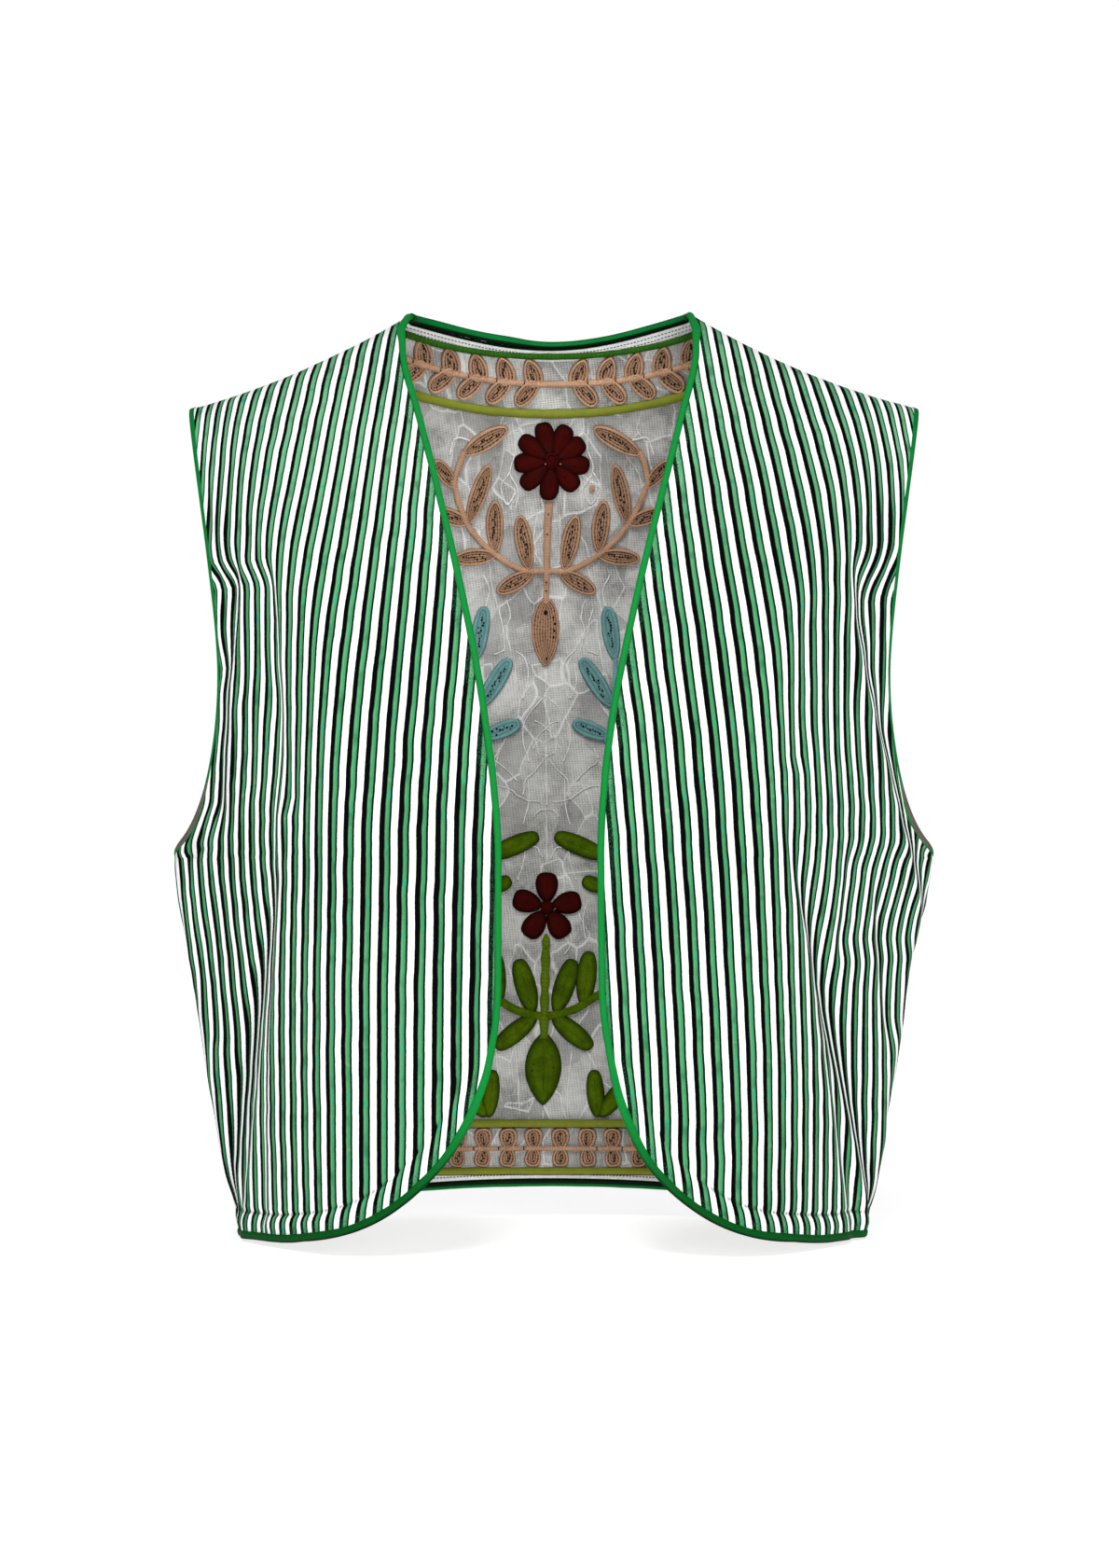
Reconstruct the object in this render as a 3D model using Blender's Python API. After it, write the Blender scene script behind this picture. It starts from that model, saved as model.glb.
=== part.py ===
"""Embroidered waistcoat: two striped fronts, a striped back lined with embroidered cloth, bias bound edges.

The garment hangs filled out, with nothing inside it.  +Z is up, the fronts face -Y, and the origin lies
midway between the two neck points, at the top of the shoulders.  The wearer's right is at -X.
Every wall comes from plan sections of the hanging form; bindings follow the walls' own edges, and
what lies on the lining is laid along the lining and lifted off it.
"""
import math
from collections import namedtuple

import bmesh
import bpy
import numpy as np
from mathutils import Vector

# ---------------------------------------------------------------- driving dimensions, in metres

FRONT_WALL = 0.0018           # striped cloth with its backing
BACK_WALL = 0.0014
LINING_WALL = 0.0012
GAP = 0.0003                  # between sewn pieces
LINED_WALL = BACK_WALL + GAP + LINING_WALL
BINDING_WIDTH = 0.0055        # bias strip, finished width
BINDING_DEPTH = 0.0034        # and its thickness round the edge of a front
LINED_BINDING_DEPTH = 0.0042  # round the lined back

NECK_REACH = 0.0855           # half the width between the neck points
BACK_NECK_DROP = 0.0092       # the back neck dips this far below them
SHOULDER_TIP = 0.2185         # half the width between the shoulder tips
SHOULDER_SLOPE = 0.605        # at the neck, and how much it eases outwards
SHOULDER_EASE = 1.32
UNDERARM = -0.3250            # height of the underarm seam
ARMHOLE_WAIST = -0.2150       # height where the armholes come nearest to each other
ARMHOLE_REACH = 0.1998        # half the width there, on the fronts
BACK_ARMHOLE_REACH = 0.1900   # half the width across the back
FRONT_HEM = -0.5480           # lowest line of the fronts
SIDE_HEM_DIP = 0.0070         # the hem hangs lower at the side seams
BACK_HEM = -0.5360
CORNER_TOP = -0.3920          # the round front corners begin here
CORNER_REACH = 0.1227         # and are this wide
CORNER_POWER = 2.1
CORNER_SPLIT = 0.83           # share of a corner's height that belongs to the front edge
SEAM_BEHIND = 0.0120          # the side seam lies this far behind the widest line
SEAM_CALM = 0.0200            # the folds die away this close to it
OPENING_SHIFT = -0.0022       # and the front opening's middle lies here
CHEST = -0.2500               # the fronts round back from here up to the shoulders
BLADES = -0.1700              # and the back from here
SHOULDER_POWER = 1.4          # shape of that rounding
SHOULDER_ROUND = 1.8          # near the neck, and how much fuller at the tips
SHOULDER_FULLER = 1.3
FRONT_BOW = 0.60              # plan curvature of the flat part of a front
SIDE_ROUND = 0.0220           # radius of the widest line, in plan
BACK_POWER = 2.3              # squareness of the back, in plan

NECK_CURVE = 1.5              # how the back neck curves up to the neck points
BAND_CURVE = 2.2              # how the cords and the border under it do
ARMHOLE_POWER = 1.4           # how an armhole's edge leans out to the shoulder tip
EDGE_SLANT = 0.8              # share of the binding's width that lies sideways at a slanting edge
HEM_LEVEL = 0.4               # share of a front's hem that is level before it dips to the seam
FOLD_FADE = 1.6               # a fold reaches its full depth at one part in this of its length
FOLD_RUN_ON = 1.15            # and runs on this far past its foot

FINE = 0.0004                 # step for measuring directions on the form
FRONT_SAMPLES = 260           # points along a plan section's front, side and back
SIDE_SAMPLES = 13
BACK_SAMPLES = 160
SOLVING_STEPS = 12            # passes to find where a cut line meets a sloping row
ROW_CROWDING = 1.7            # how much closer together the rows are at the shoulder
CREASE_ANGLE = 40             # degrees; sharper edges are not smoothed over
FRONT_COLUMNS = 25            # cells of each wall's grid
BACK_NECK_COLUMNS = 5
BACK_SHOULDER_COLUMNS = 8
SHOULDER_ROWS = 8
ARMHOLE_ROWS = 6
BACK_ARMHOLE_ROWS = 7
SKIRT_ROWS = 7

# Plan sections of the hanging form: height, half the width, depth of the centre front and centre back
# (the shoulder seam is at 0), where a front turns back to the side, how sharply, and by how many degrees,
# and how far the sides hang towards +X.
Section = namedtuple("Section", "height half_width front back turn_at turn_width side_angle sway")
SECTIONS = (
    Section(-0.555, 0.1885, -0.116, 0.097, 0.122, 0.012, 55.0, 0.0010),
    Section(-0.470, 0.2042, -0.121, 0.098, 0.124, 0.011, 53.0, 0.0008),
    Section(-0.400, 0.2160, -0.126, 0.100, 0.124, 0.009, 51.0, 0.0005),
    Section(-0.325, 0.2292, -0.132, 0.102, 0.124, 0.006, 49.0, 0.0022),
    Section(-0.250, 0.2300, -0.135, 0.104, 0.125, 0.005, 50.0, 0.0030),
    Section(-0.200, 0.2300, -0.135, 0.105, 0.132, 0.006, 50.0, 0.0030),
    Section(-0.150, 0.2380, -0.134, 0.104, 0.150, 0.008, 50.0, 0.0030),
    Section(-0.100, 0.2450, -0.132, 0.102, 0.168, 0.010, 49.0, 0.0030),
    Section(-0.050, 0.2500, -0.130, 0.100, 0.184, 0.011, 48.0, 0.0030),
)

# Finished front edge: height, and how far it lies from the opening's middle.
Edge = namedtuple("Edge", "height reach")
FRONT_EDGE = (
    Edge(-0.392, 0.0264), Edge(-0.325, 0.0262), Edge(-0.283, 0.0284), Edge(-0.240, 0.0338),
    Edge(-0.200, 0.0416), Edge(-0.155, 0.0518), Edge(-0.110, 0.0632), Edge(-0.070, 0.0734),
    Edge(-0.030, 0.0832), Edge(0.000, 0.0855),
)

# Soft folds: side (-1 is the wearer's right), the cloth's distance from the centre front or back at the
# fold's top and foot, the heights of both, how deep (in is below 0) and how wide.
Fold = namedtuple("Fold", "side top_at foot_at top foot depth width")
FRONT_FOLDS = (
    Fold(-1, 0.164, 0.240, -0.300, -0.565, -0.0052, 0.010),   # long crease from the armhole to the hem
    Fold(-1, 0.200, 0.266, -0.300, -0.545, 0.0016, 0.016),    # the roll beside it
    Fold(-1, 0.190, 0.168, -0.180, -0.285, -0.0025, 0.012),
    Fold(1, 0.148, 0.224, -0.300, -0.560, -0.0054, 0.010),
    Fold(1, 0.186, 0.252, -0.310, -0.530, 0.0016, 0.016),
    Fold(1, 0.158, 0.150, -0.150, -0.260, -0.0020, 0.012),
)
BACK_FOLDS = (
    Fold(-1, 0.160, 0.176, -0.240, -0.560, -0.0050, 0.015),
    Fold(-1, 0.196, 0.210, -0.300, -0.550, 0.0035, 0.016),
    Fold(1, 0.150, 0.182, -0.270, -0.565, -0.0055, 0.016),
    Fold(1, 0.190, 0.214, -0.330, -0.540, 0.0030, 0.015),
)

# ---------------------------------------------------------------- the hanging form


def smooth_through(places, values, at):
    """Value at a place on a monotone cubic through the given places and values."""
    places, values = np.asarray(places, float), np.asarray(values, float)
    if at <= places[0]:
        return float(values[0])
    if at >= places[-1]:
        return float(values[-1])
    steps = np.diff(places)
    rises = np.diff(values) / steps
    slopes = np.zeros_like(values)
    slopes[0], slopes[-1] = rises[0], rises[-1]
    for k in range(1, len(values) - 1):
        if rises[k - 1] * rises[k] > 0:
            slopes[k] = 2.0 / (1.0 / rises[k - 1] + 1.0 / rises[k])
    k = int(np.searchsorted(places, at)) - 1
    t = (at - places[k]) / steps[k]
    near = (1 + 2 * t) * (1 - t) ** 2 * values[k] + t * (1 - t) ** 2 * steps[k] * slopes[k]
    far = t * t * (3 - 2 * t) * values[k + 1] + t * t * (t - 1) * steps[k] * slopes[k + 1]
    return float(near + far)


def section_value(name, height):
    """One column of the section table at a height."""
    heights = [row.height for row in SECTIONS]
    return smooth_through(heights, [getattr(row, name) for row in SECTIONS], height)


def ridge_height(reach):
    """Height of the shoulder line at a distance from the centre, level over the centre back."""
    out = reach - NECK_REACH
    if out < 0:
        return SHOULDER_SLOPE * (NECK_REACH ** 2 - reach ** 2) / (2 * NECK_REACH)
    return -(SHOULDER_SLOPE * out - SHOULDER_EASE * out * out)


def plan_section(height):
    """Half the plan outline at a height, from centre front round to centre back.

    Gives the points' distance along the cloth, their x and y, and the distance of the widest line.
    """
    half_width = section_value("half_width", height)
    turn_at, turn_width = section_value("turn_at", height), section_value("turn_width", height)
    side = math.radians(section_value("side_angle", height))
    back = section_value("back", height)
    straight_end = half_width - SIDE_ROUND * (1 - math.sin(side))
    x = np.linspace(0.0, straight_end, FRONT_SAMPLES)
    bow = np.arctan(2 * FRONT_BOW * np.minimum(x, turn_at))
    turned = 1 / (1 + np.exp(-(x - turn_at) / turn_width))
    slope = np.tan(bow + (side - bow) * turned)
    steps_back = 0.5 * (slope[1:] + slope[:-1]) * np.diff(x)
    y = section_value("front", height) + np.concatenate(([0.0], np.cumsum(steps_back)))
    heading = np.linspace(side, math.pi / 2, SIDE_SAMPLES + 1)[1:]
    round_x = half_width - SIDE_ROUND * (1 - np.sin(heading))
    round_y = y[-1] + SIDE_ROUND * (math.cos(side) - np.cos(heading))
    widest_y = round_y[-1]
    turn = np.linspace(0.0, math.pi / 2, BACK_SAMPLES)[1:]
    back_x = half_width * np.cos(turn) ** (2 / BACK_POWER)
    back_y = widest_y + (back - widest_y) * np.sin(turn) ** (2 / BACK_POWER)
    x = np.concatenate((x, round_x, back_x))
    y = np.concatenate((y, round_y, back_y))
    along = np.concatenate(([0.0], np.cumsum(np.hypot(np.diff(x), np.diff(y)))))
    return along, x, y, float(along[FRONT_SAMPLES + SIDE_SAMPLES - 1])


SECTION_CACHE = {}


def section_at(height):
    """The plan section at a height, kept for the next time it is asked for."""
    key = round(height, 6)
    if key not in SECTION_CACHE:
        SECTION_CACHE[key] = plan_section(height)
    return SECTION_CACHE[key]


def rounding(share, reach):
    """How much of a wall's depth is left at a share of the way up to the shoulder line."""
    fullness = SHOULDER_ROUND + SHOULDER_FULLER * min(1.0, reach / SHOULDER_TIP) ** 3
    return max(0.0, 1 - max(0.0, share) ** SHOULDER_POWER) ** (1 / fullness)


def cloth_at_reach(height, reach, is_front):
    """Distance along the cloth, from centre front, of the point at a distance from the centre."""
    along, x, _, widest = section_at(height)
    cut = int(np.searchsorted(along, widest))
    if is_front:
        return float(np.interp(reach, x[:cut + 1], along[:cut + 1]))
    return float(np.interp(-reach, -x[cut:], along[cut:]))


def form_point(height, cloth, is_front):
    """Point of the half form at a height and a distance along the cloth from centre front."""
    along, x, y, _ = section_at(height)
    reach = float(np.interp(cloth, along, x))
    depth = float(np.interp(cloth, along, y))
    start = CHEST if is_front else BLADES
    if height > start:
        depth *= rounding((height - start) / (ridge_height(reach) - start), reach)
    return Vector((reach, depth, height))


def fold_lift(folds, side, cloth, height):
    """How far the folds lift the cloth out of the plain form."""
    lift = 0.0
    for fold in folds:
        if fold.side != side:
            continue
        share = (fold.top - height) / (fold.top - fold.foot)
        if not 0 < share < FOLD_RUN_ON:
            continue
        centre = fold.top_at + (fold.foot_at - fold.top_at) * share
        ease = math.sin(min(share * FOLD_FADE, 1.0) * math.pi / 2) ** 2
        lift += fold.depth * ease * math.exp(-((cloth - centre) / fold.width) ** 2)
    return lift


def placed(side, height, cloth, is_front):
    """Point of the garment's outer face, with its sway and its folds."""
    point = form_point(height, cloth, is_front)
    ahead, behind = form_point(height, cloth + FINE, is_front), form_point(height, cloth - FINE, is_front)
    outward = Vector((ahead.y - behind.y, behind.x - ahead.x, 0)).normalized()
    total = section_at(height)[0][-1]
    measure = cloth if is_front else total - cloth
    lift = fold_lift(FRONT_FOLDS if is_front else BACK_FOLDS, side, measure, height)
    from_seam = min(abs(cloth - seam_cloth(height)) / SEAM_CALM, 1.0)
    point += outward * lift * from_seam * from_seam * (3 - 2 * from_seam)
    widest, sway = section_value("half_width", height), section_value("sway", height)
    return Vector((side * point.x + sway * min(1.0, point.x / widest) ** 2, point.y, point.z))


def face_at(side, height, cloth, is_front):
    """Point of the garment's outer face with its outward normal."""
    point = placed(side, height, cloth, is_front)
    across = placed(side, height, cloth + FINE, is_front) - placed(side, height, cloth - FINE, is_front)
    low, high = height - FINE, min(height + FINE, -FINE)
    up = placed(side, high, cloth, is_front) - placed(side, low, cloth, is_front)
    normal = across.cross(up).normalized()
    return point, normal if side > 0 else -normal


def ridge_face(side, reach, depth):
    """Point of the shoulder seam with its normal, straight off the slope of the shoulder."""
    sway = SECTIONS[-1].sway * min(1.0, reach / SECTIONS[-1].half_width) ** 2
    point = Vector((side * reach + sway, depth, ridge_height(reach)))
    fall = (ridge_height(reach - FINE) - ridge_height(reach + FINE)) / (2 * FINE)
    return point, Vector((side * fall, 0, 1)).normalized()


# ---------------------------------------------------------------- cut lines of the walls

TRIM = BINDING_WIDTH + GAP    # a wall ends this far inside a bound edge
TIP_CUT = SHOULDER_TIP - TRIM * EDGE_SLANT
ARMHOLE_FLOOR = UNDERARM - TRIM
CUT_HEM = FRONT_HEM + TRIM
CUT_SIDE_HEM = CUT_HEM - SIDE_HEM_DIP
SPLIT_HEIGHT = CORNER_TOP - (CORNER_TOP - CUT_HEM) * CORNER_SPLIT


def front_edge(side, height):
    """Distance of a front's cut edge from the centre front."""
    start = TRIM + side * OPENING_SHIFT
    if height >= CORNER_TOP:
        heights, reaches = zip(*FRONT_EDGE)
        return start + smooth_through(heights, reaches, height)
    drop = min((CORNER_TOP - height) / (CORNER_TOP - CUT_HEM), 1.0)
    round_in = 1 - (1 - drop ** CORNER_POWER) ** (1 / CORNER_POWER)
    return start + FRONT_EDGE[0].reach + CORNER_REACH * round_in


def front_hem(side, reach, share):
    """Height of a front's cut hem at a distance from the centre and a share of the way to the seam."""
    across = min(max((reach - front_edge(side, CORNER_TOP)) / CORNER_REACH, 0.0), 1.0)
    fall = (1 - (1 - across) ** CORNER_POWER) ** (1 / CORNER_POWER)
    dip = min(max((share - HEM_LEVEL) / (1 - HEM_LEVEL), 0.0), 1.0)
    return CORNER_TOP - (CORNER_TOP - CUT_HEM) * fall - SIDE_HEM_DIP * dip * dip * (3 - 2 * dip)


def back_neck(side, reach):
    """Height of the back neck's cut line at a distance from the centre."""
    end = front_edge(side, 0.0)
    share = min(reach / end, 1.0) ** NECK_CURVE
    return -(BACK_NECK_DROP + TRIM) * (1 - share) + ridge_height(end) * share


def back_hem(share):
    """Height of the back's cut hem at a share of the way from the centre to the side seam."""
    return BACK_HEM + TRIM + (CUT_SIDE_HEM - BACK_HEM - TRIM) * share * share


def seam_cloth(height):
    """Distance along the cloth of the side seam."""
    return section_at(height)[3] + SEAM_BEHIND


def armhole_cloth(height, is_front):
    """Distance along the cloth, from centre front, of an armhole's cut line at a height."""
    waist_reach = (ARMHOLE_REACH if is_front else BACK_ARMHOLE_REACH) - TRIM * EDGE_SLANT
    if height >= ARMHOLE_WAIST:
        climb = min((height - ARMHOLE_WAIST) / (ridge_height(TIP_CUT) - ARMHOLE_WAIST), 1.0)
        reach = waist_reach + (TIP_CUT - waist_reach) * climb ** ARMHOLE_POWER
        return cloth_at_reach(height, reach, is_front)
    from_seam = cloth_at_reach(ARMHOLE_WAIST, waist_reach, is_front) - seam_cloth(ARMHOLE_WAIST)
    drop = min((ARMHOLE_WAIST - height) / (ARMHOLE_WAIST - ARMHOLE_FLOOR), 1.0)
    return seam_cloth(height) + from_seam * math.sqrt(1 - drop * drop)


def armhole_heights(start, rows):
    """Heights from a start down to the underarm, closer together where the armhole turns under."""
    depth = ARMHOLE_WAIST - ARMHOLE_FLOOR
    first = math.asin((ARMHOLE_WAIST - start) / depth)
    turns = [first + (math.pi / 2 - first) * row / rows for row in range(rows + 1)]
    return [ARMHOLE_WAIST - depth * math.sin(turn) for turn in turns]


# ---------------------------------------------------------------- wall grids: rows of (point, normal)


def skirt_rows(start, armhole_rows, seam_gap, is_front):
    """Heights and cloth distances of a wall's outer edge, from a start down to the hem."""
    heights = armhole_heights(start, armhole_rows)
    cloths = [armhole_cloth(height, is_front) for height in heights]
    cloths[-1] = seam_cloth(heights[-1]) + seam_gap
    for row in range(1, SKIRT_ROWS + 1):
        height = ARMHOLE_FLOOR + (CUT_SIDE_HEM - ARMHOLE_FLOOR) * row / SKIRT_ROWS
        heights.append(height)
        cloths.append(seam_cloth(height) + seam_gap)
    return heights, cloths


def outer_reach(start, climb, is_front):
    """Distance of the armhole's cut line from the centre, a share of the way up to the shoulder line."""
    reach = TIP_CUT
    for _ in range(SOLVING_STEPS):
        height = start + climb * (ridge_height(reach) - start)
        reach = form_point(height, armhole_cloth(height, is_front), is_front).x
    return reach


def row_climbs():
    """Shares of the way up to the shoulder line, from the top down, closer together at the top."""
    return [1 - (1 - row / SHOULDER_ROWS) ** ROW_CROWDING for row in range(SHOULDER_ROWS, 0, -1)]


def front_grid(side):
    """A front's outer face: rows from the shoulder seam down, columns from the front edge out."""
    spots = [column / FRONT_COLUMNS for column in range(FRONT_COLUMNS + 1)]
    chest_edge = front_edge(side, CHEST)
    chest_end = outer_reach(CHEST, 0.0, True)
    cloth_start = cloth_at_reach(CHEST, chest_edge, True)
    cloth_span = armhole_cloth(CHEST, True) - cloth_start
    reaches = [form_point(CHEST, cloth_start + cloth_span * spot, True).x for spot in spots]
    shares = [(reach - chest_edge) / (chest_end - chest_edge) for reach in reaches]
    grid = []
    for climb in row_climbs():
        near, far = front_edge(side, 0.0), outer_reach(CHEST, climb, True)
        for _ in range(SOLVING_STEPS):
            near = front_edge(side, min(CHEST + climb * (ridge_height(near) - CHEST), 0.0))
        line = []
        for share in shares:
            reach = near + (far - near) * share
            height = CHEST + climb * (ridge_height(reach) - CHEST)
            if climb == 1.0:
                line.append(ridge_face(side, reach, -GAP / 2))
            else:
                line.append(face_at(side, height, cloth_at_reach(height, reach, True), True))
        grid.append(line)
    heights, cloths = skirt_rows(CHEST, ARMHOLE_ROWS, -GAP / 2, True)
    hem_start = cloth_at_reach(CUT_SIDE_HEM, front_edge(side, SPLIT_HEIGHT), True)
    feet = []
    for spot in spots:
        reach = form_point(CUT_SIDE_HEM, hem_start + (cloths[-1] - hem_start) * spot, True).x
        feet.append(front_hem(side, reach, spot))
    for outer_height, outer_cloth in zip(heights, cloths):
        down = (CHEST - outer_height) / (CHEST - CUT_SIDE_HEM)
        edge_height = CHEST + (SPLIT_HEIGHT - CHEST) * down
        edge_cloth = cloth_at_reach(edge_height, front_edge(side, edge_height), True)
        line = []
        for spot, foot in zip(spots, feet):
            height = CHEST + (foot - CHEST) * down
            line.append(face_at(side, height, edge_cloth + (outer_cloth - edge_cloth) * spot, True))
        grid.append(line)
    return grid


def half_back_grid(side):
    """Half the back's outer face: rows from the shoulder down, columns from the centre out."""
    neck_share = front_edge(side, 0.0) / TIP_CUT
    shares = [neck_share * column / BACK_NECK_COLUMNS for column in range(BACK_NECK_COLUMNS)]
    shares += [neck_share + (1 - neck_share) * column / BACK_SHOULDER_COLUMNS
               for column in range(BACK_SHOULDER_COLUMNS + 1)]
    blades_end = outer_reach(BLADES, 0.0, False)
    total = section_at(BLADES)[0][-1]
    cloth_out = total - armhole_cloth(BLADES, False)
    spots = [(total - cloth_at_reach(BLADES, share * blades_end, False)) / cloth_out for share in shares]
    grid = []
    for climb in row_climbs():
        far = outer_reach(BLADES, climb, False)
        line = []
        for share in shares:
            reach = far * share
            is_neck = share < neck_share - FINE
            top = back_neck(side, reach) if is_neck else ridge_height(reach)
            height = BLADES + climb * (top - BLADES)
            if climb == 1.0 and not is_neck:
                line.append(ridge_face(side, reach, GAP / 2))
            else:
                line.append(face_at(side, height, cloth_at_reach(height, reach, False), False))
        grid.append(line)
    for outer_height, outer_cloth in zip(*skirt_rows(BLADES, BACK_ARMHOLE_ROWS, GAP / 2, False)):
        down = (BLADES - outer_height) / (BLADES - CUT_SIDE_HEM)
        out = section_at(outer_height)[0][-1] - outer_cloth
        line = []
        for spot in spots:
            height = BLADES + (back_hem(spot) - BLADES) * down
            line.append(face_at(side, height, section_at(height)[0][-1] - out * spot, False))
        grid.append(line)
    return grid


def back_grid():
    """The whole back's outer face, from the wearer's right to the left."""
    right, left = half_back_grid(-1), half_back_grid(1)
    return [right_line[:0:-1] + left_line for right_line, left_line in zip(right, left)]


def moved_in(grid, distance):
    """The grid's points moved in along their normals."""
    return [[point - normal * distance for point, normal in line] for line in grid]


# ---------------------------------------------------------------- making solids


def finish_mesh(name, vertices, faces, material):
    """Make one object from points and faces, facing outwards and shaded smooth."""
    mesh = bpy.data.meshes.new(name)
    mesh.from_pydata([tuple(vertex) for vertex in vertices], [], faces)
    work = bmesh.new()
    work.from_mesh(mesh)
    bmesh.ops.triangulate(work, faces=work.faces[:])
    bmesh.ops.recalc_face_normals(work, faces=work.faces[:])
    if work.calc_volume(signed=True) < 0:
        bmesh.ops.reverse_faces(work, faces=work.faces[:])
    work.to_mesh(mesh)
    work.free()
    mesh.shade_smooth()
    mesh.set_sharp_from_angle(angle=math.radians(CREASE_ANGLE))
    mesh.materials.append(material)
    obj = bpy.data.objects.new(name, mesh)
    bpy.context.scene.collection.objects.link(obj)
    return obj


def wall(name, outer, inner, material):
    """A closed wall between two grids of the same size."""
    rows, columns = len(outer), len(outer[0])
    vertices = [point for line in outer for point in line] + [point for line in inner for point in line]
    inside = rows * columns
    faces = []
    for r in range(rows - 1):
        for c in range(columns - 1):
            a, b = r * columns + c, (r + 1) * columns + c
            faces.append((a, a + 1, b + 1, b))
            faces.append((inside + a, inside + b, inside + b + 1, inside + a + 1))
    rim = [c for c in range(columns)] + [r * columns + columns - 1 for r in range(1, rows)]
    rim += [(rows - 1) * columns + c for c in range(columns - 2, -1, -1)]
    rim += [r * columns for r in range(rows - 2, 0, -1)]
    for a, b in zip(rim, rim[1:] + rim[:1]):
        faces.append((a, inside + a, inside + b, b))
    return finish_mesh(name, vertices, faces, material)


def tube(name, path, across, lifts, widths, depths, material, closed=False, sides=6):
    """A rounded strip along a path.

    across and lifts are the directions in and off the cloth at each point; widths and depths are the
    half sizes along them.
    """
    vertices, faces = [], []
    for k, point in enumerate(path):
        for side in range(sides):
            turn = 2 * math.pi * (side + 0.5) / sides
            aside, off = widths[k] * math.cos(turn), depths[k] * math.sin(turn)
            vertices.append(point + across[k] * aside + lifts[k] * off)
    count = len(path)
    for k in range(count if closed else count - 1):
        near, far = k * sides, (k + 1) % count * sides
        for side in range(sides):
            ahead = (side + 1) % sides
            faces.append((near + side, near + ahead, far + ahead, far + side))
    if not closed:
        faces.append(tuple(range(sides)))
        faces.append(tuple((count - 1) * sides + side for side in range(sides - 1, -1, -1)))
    return finish_mesh(name, vertices, faces, material)


def edge_of(grid, where):
    """Points, normals and inward neighbours along one edge of a grid."""
    picks = {
        "first": [(r, 0, r, 1) for r in range(len(grid))],
        "last": [(r, -1, r, -2) for r in range(len(grid))],
        "top": [(0, c, 1, c) for c in range(len(grid[0]))],
        "bottom": [(-1, c, -2, c) for c in range(len(grid[0]))],
    }[where]
    return [(*grid[a][b], grid[c][d][0]) for a, b, c, d in picks]


def binding(name, edge, wall_depth, depth, material, closed=False, shoulder_ends=()):
    """A bias strip that caps a wall's edge, its middle in the middle of the wall.

    shoulder_ends are the places along it that are cut flush with the shoulder seam.
    """
    count = len(edge)
    path, across, lifts = [], [], []
    for k, (point, normal, inward) in enumerate(edge):
        if closed:
            ahead, behind = edge[(k + 1) % count][0], edge[k - 1][0]
        else:
            ahead, behind = edge[min(k + 1, count - 1)][0], edge[max(k - 1, 0)][0]
        along = (ahead - behind).normalized()
        if k in shoulder_ends:
            along = Vector((0.0, math.copysign(1.0, along.y), 0.0))
        out = along.cross(normal).normalized()
        if out.dot(point - inward) < 0:
            out.negate()
        lift = out.cross(along).normalized()
        if lift.dot(normal) < 0:
            lift.negate()
        path.append(point - lift * (wall_depth / 2) + out * (GAP + BINDING_WIDTH / 2))
        across.append(out)
        lifts.append(lift)
    if not closed:
        for end, inner in ((0, 1), (count - 1, count - 2)):
            along = (path[inner] - path[end]).normalized()
            path[end] = path[end] + along * (GAP / 2)
    widths, depths = [BINDING_WIDTH / 2] * count, [depth / 2 / math.sin(math.pi / 3)] * count
    return tube(name, path, across, lifts, widths, depths, material, closed)


# ---------------------------------------------------------------- materials


def cloth_material(name, colour, roughness):
    """A plain cloth colour."""
    material = bpy.data.materials.new(name)
    material.use_nodes = True
    shader = material.node_tree.nodes["Principled BSDF"]
    shader.inputs["Base Color"].default_value = (*colour, 1.0)
    shader.inputs["Roughness"].default_value = roughness
    shader.inputs["Metallic"].default_value = 0.0
    return material


STRIPED = (0.26, 0.42, 0.31)
GREY_LINING = (0.42, 0.43, 0.45)
BINDING_GREEN = (0.01, 0.24, 0.04)


def build_walls():
    """The fronts, the back, its lining and every binding."""
    striped = cloth_material("striped_cloth", STRIPED, 0.9)
    lining = cloth_material("lining_cloth", GREY_LINING, 0.9)
    bias = cloth_material("bias_binding", BINDING_GREEN, 0.7)
    armhole_edges = {}
    for side, wearer in ((-1, "right"), (1, "left")):
        grid = front_grid(side)
        wall("front_" + wearer, moved_in(grid, 0.0), moved_in(grid, FRONT_WALL), striped)
        edge = edge_of(grid, "first") + edge_of(grid, "bottom")[1:]
        binding("binding_front_" + wearer, edge, FRONT_WALL, BINDING_DEPTH, bias, shoulder_ends=(0,))
        armhole_edges[wearer] = edge_of(grid, "last")[:SHOULDER_ROWS + ARMHOLE_ROWS + 1]
    grid = back_grid()
    wall("back", moved_in(grid, 0.0), moved_in(grid, BACK_WALL), striped)
    wall("back_lining", moved_in(grid, BACK_WALL + GAP), moved_in(grid, LINED_WALL), lining)
    centre = BACK_NECK_COLUMNS + BACK_SHOULDER_COLUMNS
    neck = edge_of(grid, "top")[centre - BACK_NECK_COLUMNS:centre + BACK_NECK_COLUMNS + 1]
    ends = (0, len(neck) - 1)
    binding("binding_neck_back", neck, LINED_WALL, LINED_BINDING_DEPTH, bias, shoulder_ends=ends)
    binding("binding_hem_back", edge_of(grid, "bottom"), LINED_WALL, LINED_BINDING_DEPTH, bias)
    for wearer, where in (("right", "first"), ("left", "last")):
        behind = edge_of(grid, where)[:SHOULDER_ROWS + BACK_ARMHOLE_ROWS + 1]
        ring = armhole_edges[wearer] + behind[-2:0:-1]
        binding("binding_armhole_" + wearer, ring, LINED_WALL, LINED_BINDING_DEPTH, bias, closed=True)


# ---------------------------------------------------------------- embroidery on the lining

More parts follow.
